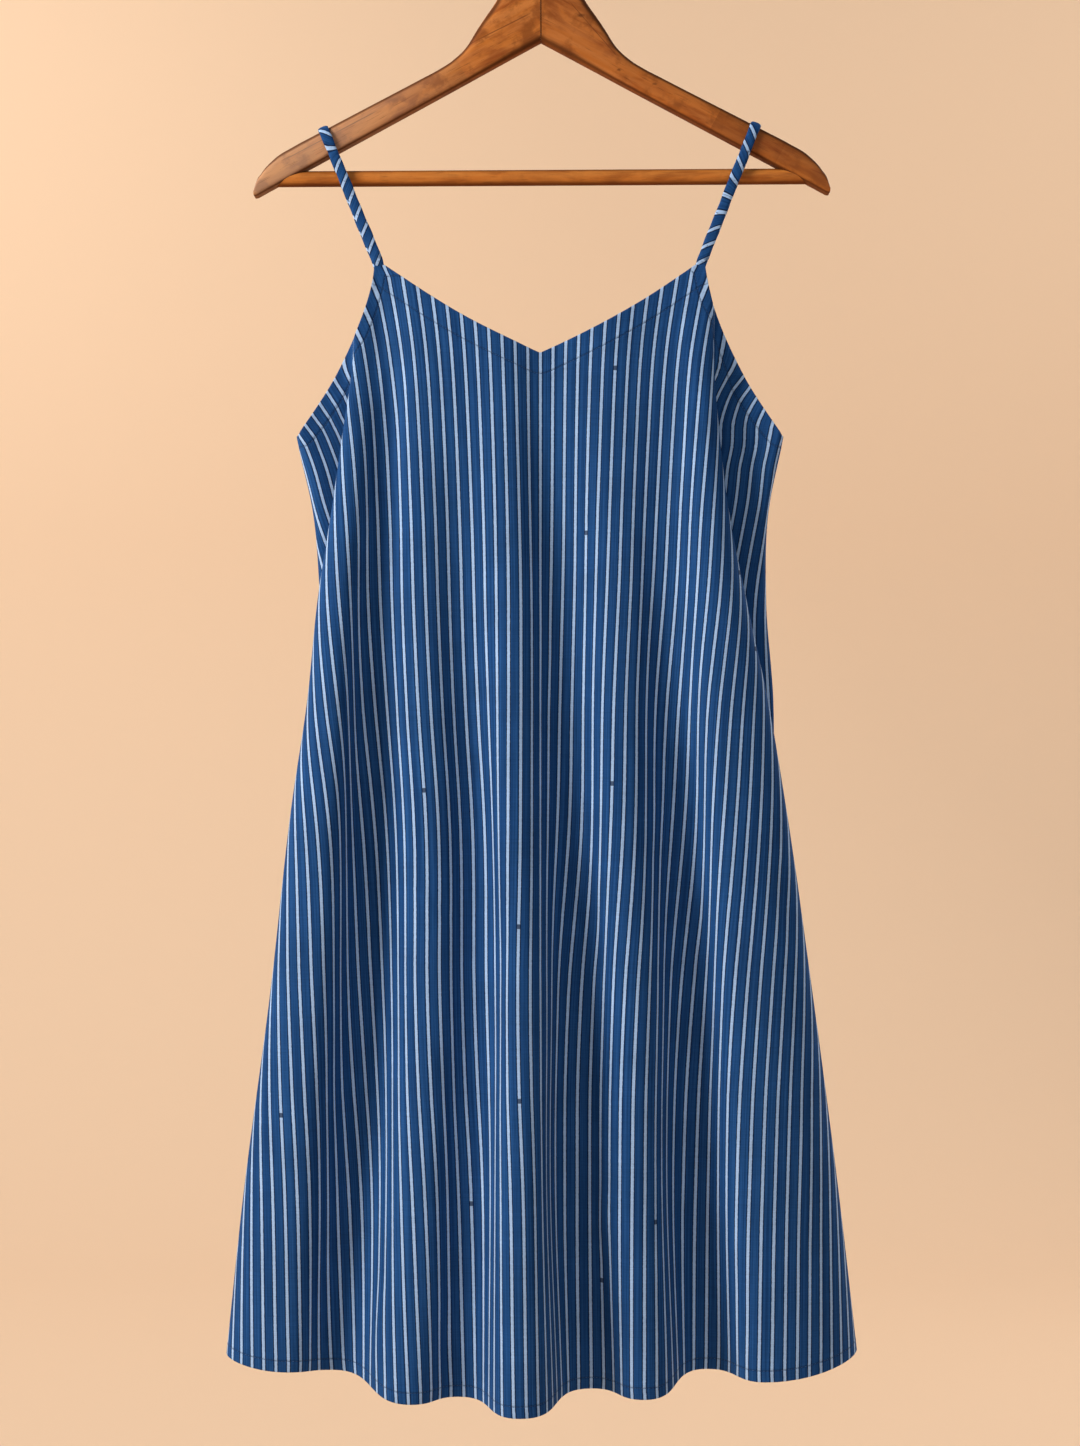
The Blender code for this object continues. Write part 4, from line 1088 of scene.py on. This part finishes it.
dress_cotton = pinstriped_cotton("pinstriped_cotton", True)
front_cloth = lay_cloth(
    FRONT_START, FRONT_END, front_top, (FRONT_SPREAD_LEFT, FRONT_SPREAD_RIGHT), FRONT_MIDDLE_X,
    FRONT_CREASES, (STRAP_POINT_INNER_X + STRAP_POINT_OUTER_X) / 2,
)
back_cloth = lay_cloth(
    FRONT_END, BACK_END, back_top, (BACK_SPREAD, BACK_SPREAD), BACK_MIDDLE_X, BACK_CREASES, BACK_STRAP_X
)
for side_name, cloth in (("front", front_cloth), ("back", back_cloth)):
    panel, columns = shell_piece("dress_" + side_name, cloth, dress_cotton)
    spare = (columns - cloth.outer.shape[0]) // 2
    for label in TURNINGS:
        padded = np.pad(getattr(cloth, label), ((spare, spare), (0, 0)), constant_values=FAR_FROM_EDGE)
        put_values(panel, label, np.concatenate([padded.ravel(), padded.ravel()]))
    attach(panel, "root")
    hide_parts(side_name + "_panel")


# THE STITCHES
# Lockstitch in blue thread, here darker and there rubbed lighter, along the turnings of the neck, the
# armholes and the hem.
STITCH_LENGTH = 2.1
STITCH_GAP = 0.6
THREAD_WIDTH = 0.34
# How far from another edge a stitched line stops
STITCH_START = 2.5

thread_finish, tree, surface = new_finish("blue_thread")
lay = noise(add_node(tree, "ShaderNodeTexCoord", out="Object"), 1400.0)
feed(surface, {
    "Base Color": tint(fade(lay, 0.42, 0.58), (0.010, 0.036, 0.130), (0.055, 0.150, 0.380)),
    "Roughness": fade(lay, 0.3, 0.7, 0.5, 0.7),
    "Normal": bumped(lay, 0.3, 0.0001),
})

stitch_tree = bpy.data.node_groups.new("lockstitch", "GeometryNodeTree")
stitch_inputs = {}
for label, kind in (
    ("Line", "NodeSocketGeometry"),
    ("Stitch Length", "NodeSocketFloat"),
    ("Gap", "NodeSocketFloat"),
    ("Thread Width", "NodeSocketFloat"),
    ("Thread", "NodeSocketMaterial"),
):
    stitch_inputs[label] = stitch_tree.interface.new_socket(name=label, in_out="INPUT", socket_type=kind).identifier
stitch_tree.interface.new_socket(name="Stitches", in_out="OUTPUT", socket_type="NodeSocketGeometry")
ends = stitch_tree.nodes.new("NodeGroupInput")
line, length, gap, width, thread = (Value(ends.outputs[label]) for label in stitch_inputs)
curve = add_node(stitch_tree, "GeometryNodeMeshToCurve", {"Mesh": line})
spaced = add_node(stitch_tree, "GeometryNodeResampleCurve", {"Curve": curve, "Length": length + gap}, mode="LENGTH")
heading = add_node(stitch_tree, "GeometryNodeInputTangent")
facing = add_node(
    stitch_tree, "GeometryNodeInputNamedAttribute", {"Name": "facing"}, "Attribute", data_type="FLOAT_VECTOR"
)
align = "FunctionNodeAlignRotationToVector"
turned = add_node(stitch_tree, align, {"Vector": heading}, axis="X")
turned = add_node(stitch_tree, align, {"Rotation": turned, "Vector": facing}, axis="Z", pivot_axis="X")
bead = add_node(stitch_tree, "GeometryNodeMeshUVSphere", {"Segments": 6, "Rings": 5, "Radius": 0.5})
shape = add_node(stitch_tree, "ShaderNodeCombineXYZ", {0: length, 1: width, 2: width * 0.8})
placing = {"Points": spaced, "Instance": bead, "Rotation": turned, "Scale": shape}
placed = add_node(stitch_tree, "GeometryNodeInstanceOnPoints", placing)
solid = add_node(stitch_tree, "GeometryNodeRealizeInstances", {0: placed})
smooth = add_node(stitch_tree, "GeometryNodeSetShadeSmooth", {"Geometry": solid})
dyed = add_node(stitch_tree, "GeometryNodeSetMaterial", {"Geometry": smooth, "Material": thread})
feed(stitch_tree.nodes.new("NodeGroupOutput"), {0: dyed})


def sewn_lines(cloth):
    """Points and outward directions of each stitched line on a panel."""
    lines = []
    for own, turning, other in (
        (cloth.from_neck, NECK_TURNING, cloth.from_armhole),
        (cloth.from_armhole, ARMHOLE_TURNING, cloth.from_neck),
        (cloth.from_hem, HEM_TURNING, None),
    ):
        lines.append([])
        for column, away in enumerate(own):
            for row in range(len(away) - 1):
                step = away[row + 1] - away[row]
                if (away[row] - turning) * (away[row + 1] - turning) > 0 or abs(step) <= 1e-6:
                    continue
                p = (turning - away[row]) / step
                parts = (other, cloth.outer, cloth.normals)
                near, spot, facing = (
                    None if part is None else (1 - p) * part[column, row] + p * part[column, row + 1] for part in parts
                )
                if near is None or near > STITCH_START:
                    facing = unit(facing)
                    lines[-1].append((spot + 0.05 * facing, facing))
                    break
            else:
                lines.append([])
    return [line for line in lines if len(line) > 3]


for side_name, cloth in (("front", front_cloth), ("back", back_cloth)):
    spots, facings, edges = [], [], []
    for stretch in sewn_lines(cloth):
        edges += [(len(spots) + index, len(spots) + index + 1) for index in range(len(stretch) - 1)]
        spots += [spot for spot, _ in stretch]
        facings += [facing for _, facing in stretch]
    guide_mesh = bpy.data.meshes.new("stitch_guide")
    guide_mesh.from_pydata((np.array(spots) / 1000.0).tolist(), edges, [])
    guide = bpy.data.objects.new("stitch_guide", guide_mesh)
    scene.collection.objects.link(guide)
    put_values(guide, "facing", np.array(facings), "FLOAT_VECTOR")
    modifier = guide.modifiers.new("lockstitch", "NODES")
    modifier.node_group = stitch_tree
    for label, size in (("Stitch Length", STITCH_LENGTH), ("Gap", STITCH_GAP), ("Thread Width", THREAD_WIDTH)):
        modifier[stitch_inputs[label]] = size / 1000.0
    modifier[stitch_inputs["Thread"]] = thread_finish
    bpy.context.view_layer.update()
    sewn = bpy.data.meshes.new_from_object(guide.evaluated_get(bpy.context.evaluated_depsgraph_get()))
    sewn.name = "stitches_" + side_name
    bpy.data.objects.remove(guide, do_unlink=True)
    stitches = bpy.data.objects.new("stitches_" + side_name, sewn)
    scene.collection.objects.link(stitches)
    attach(stitches, "root")
    "stitches_" + side_name


# THE STRAPS
# Narrow tubes of the same cotton cut on the bias, so the pinstripes cross them in slanting dashes. Each
# is sewn inside the front's point, goes over the arm and down to the top edge of the back.
STRAP_WIDTH = 8.0
STRAP_THICKNESS = 3.0
STRAP_CLEARANCE = 0.35
STRAP_ARM_X = {"left": 168.0, "right": 165.0}
STRAP_FRONT_X = 123.0
STRAP_FRONT_Y = -10.6
STRAP_BACK_Y = 8.0
STRAP_SIDES = 28
STRAP_SPACING = 1.6
BIAS_ANGLE = 45.0
# Points of a sewn end inside the cloth: how far towards the middle, inwards and up from the edge
SEWN_END = [(0.9, 2.4, -10.0), (0.5, 2.1, -5.0)]
# The sewn ends are pressed flat for this length, easing off over the next
FLATTENED = 12.0
FLATTENING = 8.0
# Which way the stripes slant at distances along each strap from its front end; the right one is twisted
STRAP_SLANT = {
    "left": [(0, -1.0), (96, -1.0), (106, 0.2), (116, 1.0), (400, 1.0)],
    "right": [(0, 1.0), (40, 1.0), (56, 0.2), (72, -0.2), (88, -1.0), (400, -1.0)],
}

strap_cotton = pinstriped_cotton("bias_cut_cotton", False)


def strap_route(side, arm_x):
    """Centre points of a strap from inside the front's point, over an arm to inside the back's top."""
    slope = (arm_top(arm_x + 5) - arm_top(arm_x - 5)) / 10
    square = unit(hanger_tilt((-side * slope, 0.0, 1.0)))
    crest = hanger_tilt((side * arm_x, 0.0, arm_top(arm_x)))
    front = np.array([side * STRAP_FRONT_X, STRAP_FRONT_Y, STRAP_POINT_Z])
    back = np.array([side * BACK_STRAP_X, STRAP_BACK_Y, BACK_STRAP_Z])
    backward = np.array([0.0, 1.0, 0.0])
    upward = unit((crest - front) * np.array([1.0, 0.0, 1.0]))
    pivot = crest - upward * ARM_HALF_THICKNESS / float(np.dot(upward, square))
    turn_radius = ARM_HALF_THICKNESS + STRAP_CLEARANCE + STRAP_THICKNESS / 2
    front_high = pivot - turn_radius * backward
    back_high = pivot + turn_radius * backward
    points = [front + np.array([-side * x, y, z]) for x, y, z in SEWN_END]
    points += [front + (front_high - front) * p for p in np.linspace(0.02, 1.0, 60)[:-1]]
    for angle in np.linspace(0.0, math.pi, 26):
        points.append(pivot + turn_radius * (math.sin(angle) * upward - math.cos(angle) * backward))
    points += [back_high + (back - back_high) * p for p in np.linspace(0.0, 0.98, 90)[1:]]
    points += [back + np.array([-side * x, -y, z]) for x, y, z in SEWN_END[::-1]]
    points = np.array(points)
    lengths = np.concatenate([[0.0], np.cumsum(np.linalg.norm(np.diff(points, axis=0), axis=1))])
    spots = np.arange(0.0, lengths[-1], STRAP_SPACING)
    route = np.stack([np.interp(spots, lengths, points[:, axis]) for axis in range(3)], axis=-1)
    for _ in range(3):
        route[1:-1] = (route[:-2] + 2 * route[1:-1] + route[2:]) / 4
    return route, unit(np.cross(upward, backward)), spots


for side_name, side in (("left", -1.0), ("right", 1.0)):
    route, wide, spots = strap_route(side, STRAP_ARM_X[side_name])
    along = unit(np.gradient(route, axis=0))
    normals = unit(np.cross(along, wide[None]))
    angles = 2 * np.pi * np.arange(STRAP_SIDES + 1) / STRAP_SIDES - np.pi / 2
    c, s = np.cos(angles), np.sin(angles)
    from_end = np.minimum(spots, spots[-1] - spots)
    flat_share = np.clip((FLATTENED - from_end) / FLATTENING, 0.0, 1.0)
    wavy = 0.035 * np.sin(spots / 3.1 + side) + 0.03 * np.sin(spots / 7.3)
    width = STRAP_WIDTH / 2 * (1.0 - wavy - 0.10 * flat_share)
    depth = STRAP_THICKNESS / 2 * (1.0 - 0.07 * np.sin(spots / 2.3 + 2.0 * side) - 0.30 * flat_share)
    section_x = np.sign(c) * np.abs(c) ** (2 / 2.5)
    section_y = np.sign(s) * np.abs(s) ** (2 / 2.1)
    rings = route[:, None] + width[:, None, None] * section_x[None, :, None] * wide
    rings = rings + depth[:, None, None] * section_y[None, :, None] * normals[:, None]
    count, sides = len(route), STRAP_SIDES
    strap = make_tube("strap_cloth_" + side_name, rings[:, :-1], strap_cotton, smooth_angle=80.0)
    perimeter = np.concatenate([[0.0], np.cumsum(np.linalg.norm(np.diff(rings[count // 3], axis=0), axis=1))])
    uv = strap.data.uv_layers.new(name="cloth")
    slant = -side * np.interp(spots, *zip(*STRAP_SLANT[side_name]))
    lean = math.radians(BIAS_ANGLE)
    for polygon in strap.data.polygons:
        members = [strap.data.loops[i].vertex_index for i in polygon.loop_indices]
        wraps = any(v % sides == 0 for v in members) and any(v % sides == sides - 1 for v in members)
        for loop_index, vertex in zip(polygon.loop_indices, members):
            down, around = 0.0, 0.0
            if vertex < count * sides:
                down = spots[vertex // sides]
                position = vertex % sides
                around = perimeter[sides if wraps and position == 0 else position] - perimeter[sides] / 2
                around *= slant[vertex // sides]
            u = down * math.cos(lean) + around * math.sin(lean)
            v = down * math.sin(lean) - around * math.cos(lean)
            uv.data[loop_index].uv = (u / 1000.0, v / 1000.0)
    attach(strap, "root")
    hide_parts("strap_" + side_name)
    "strap_" + side_name
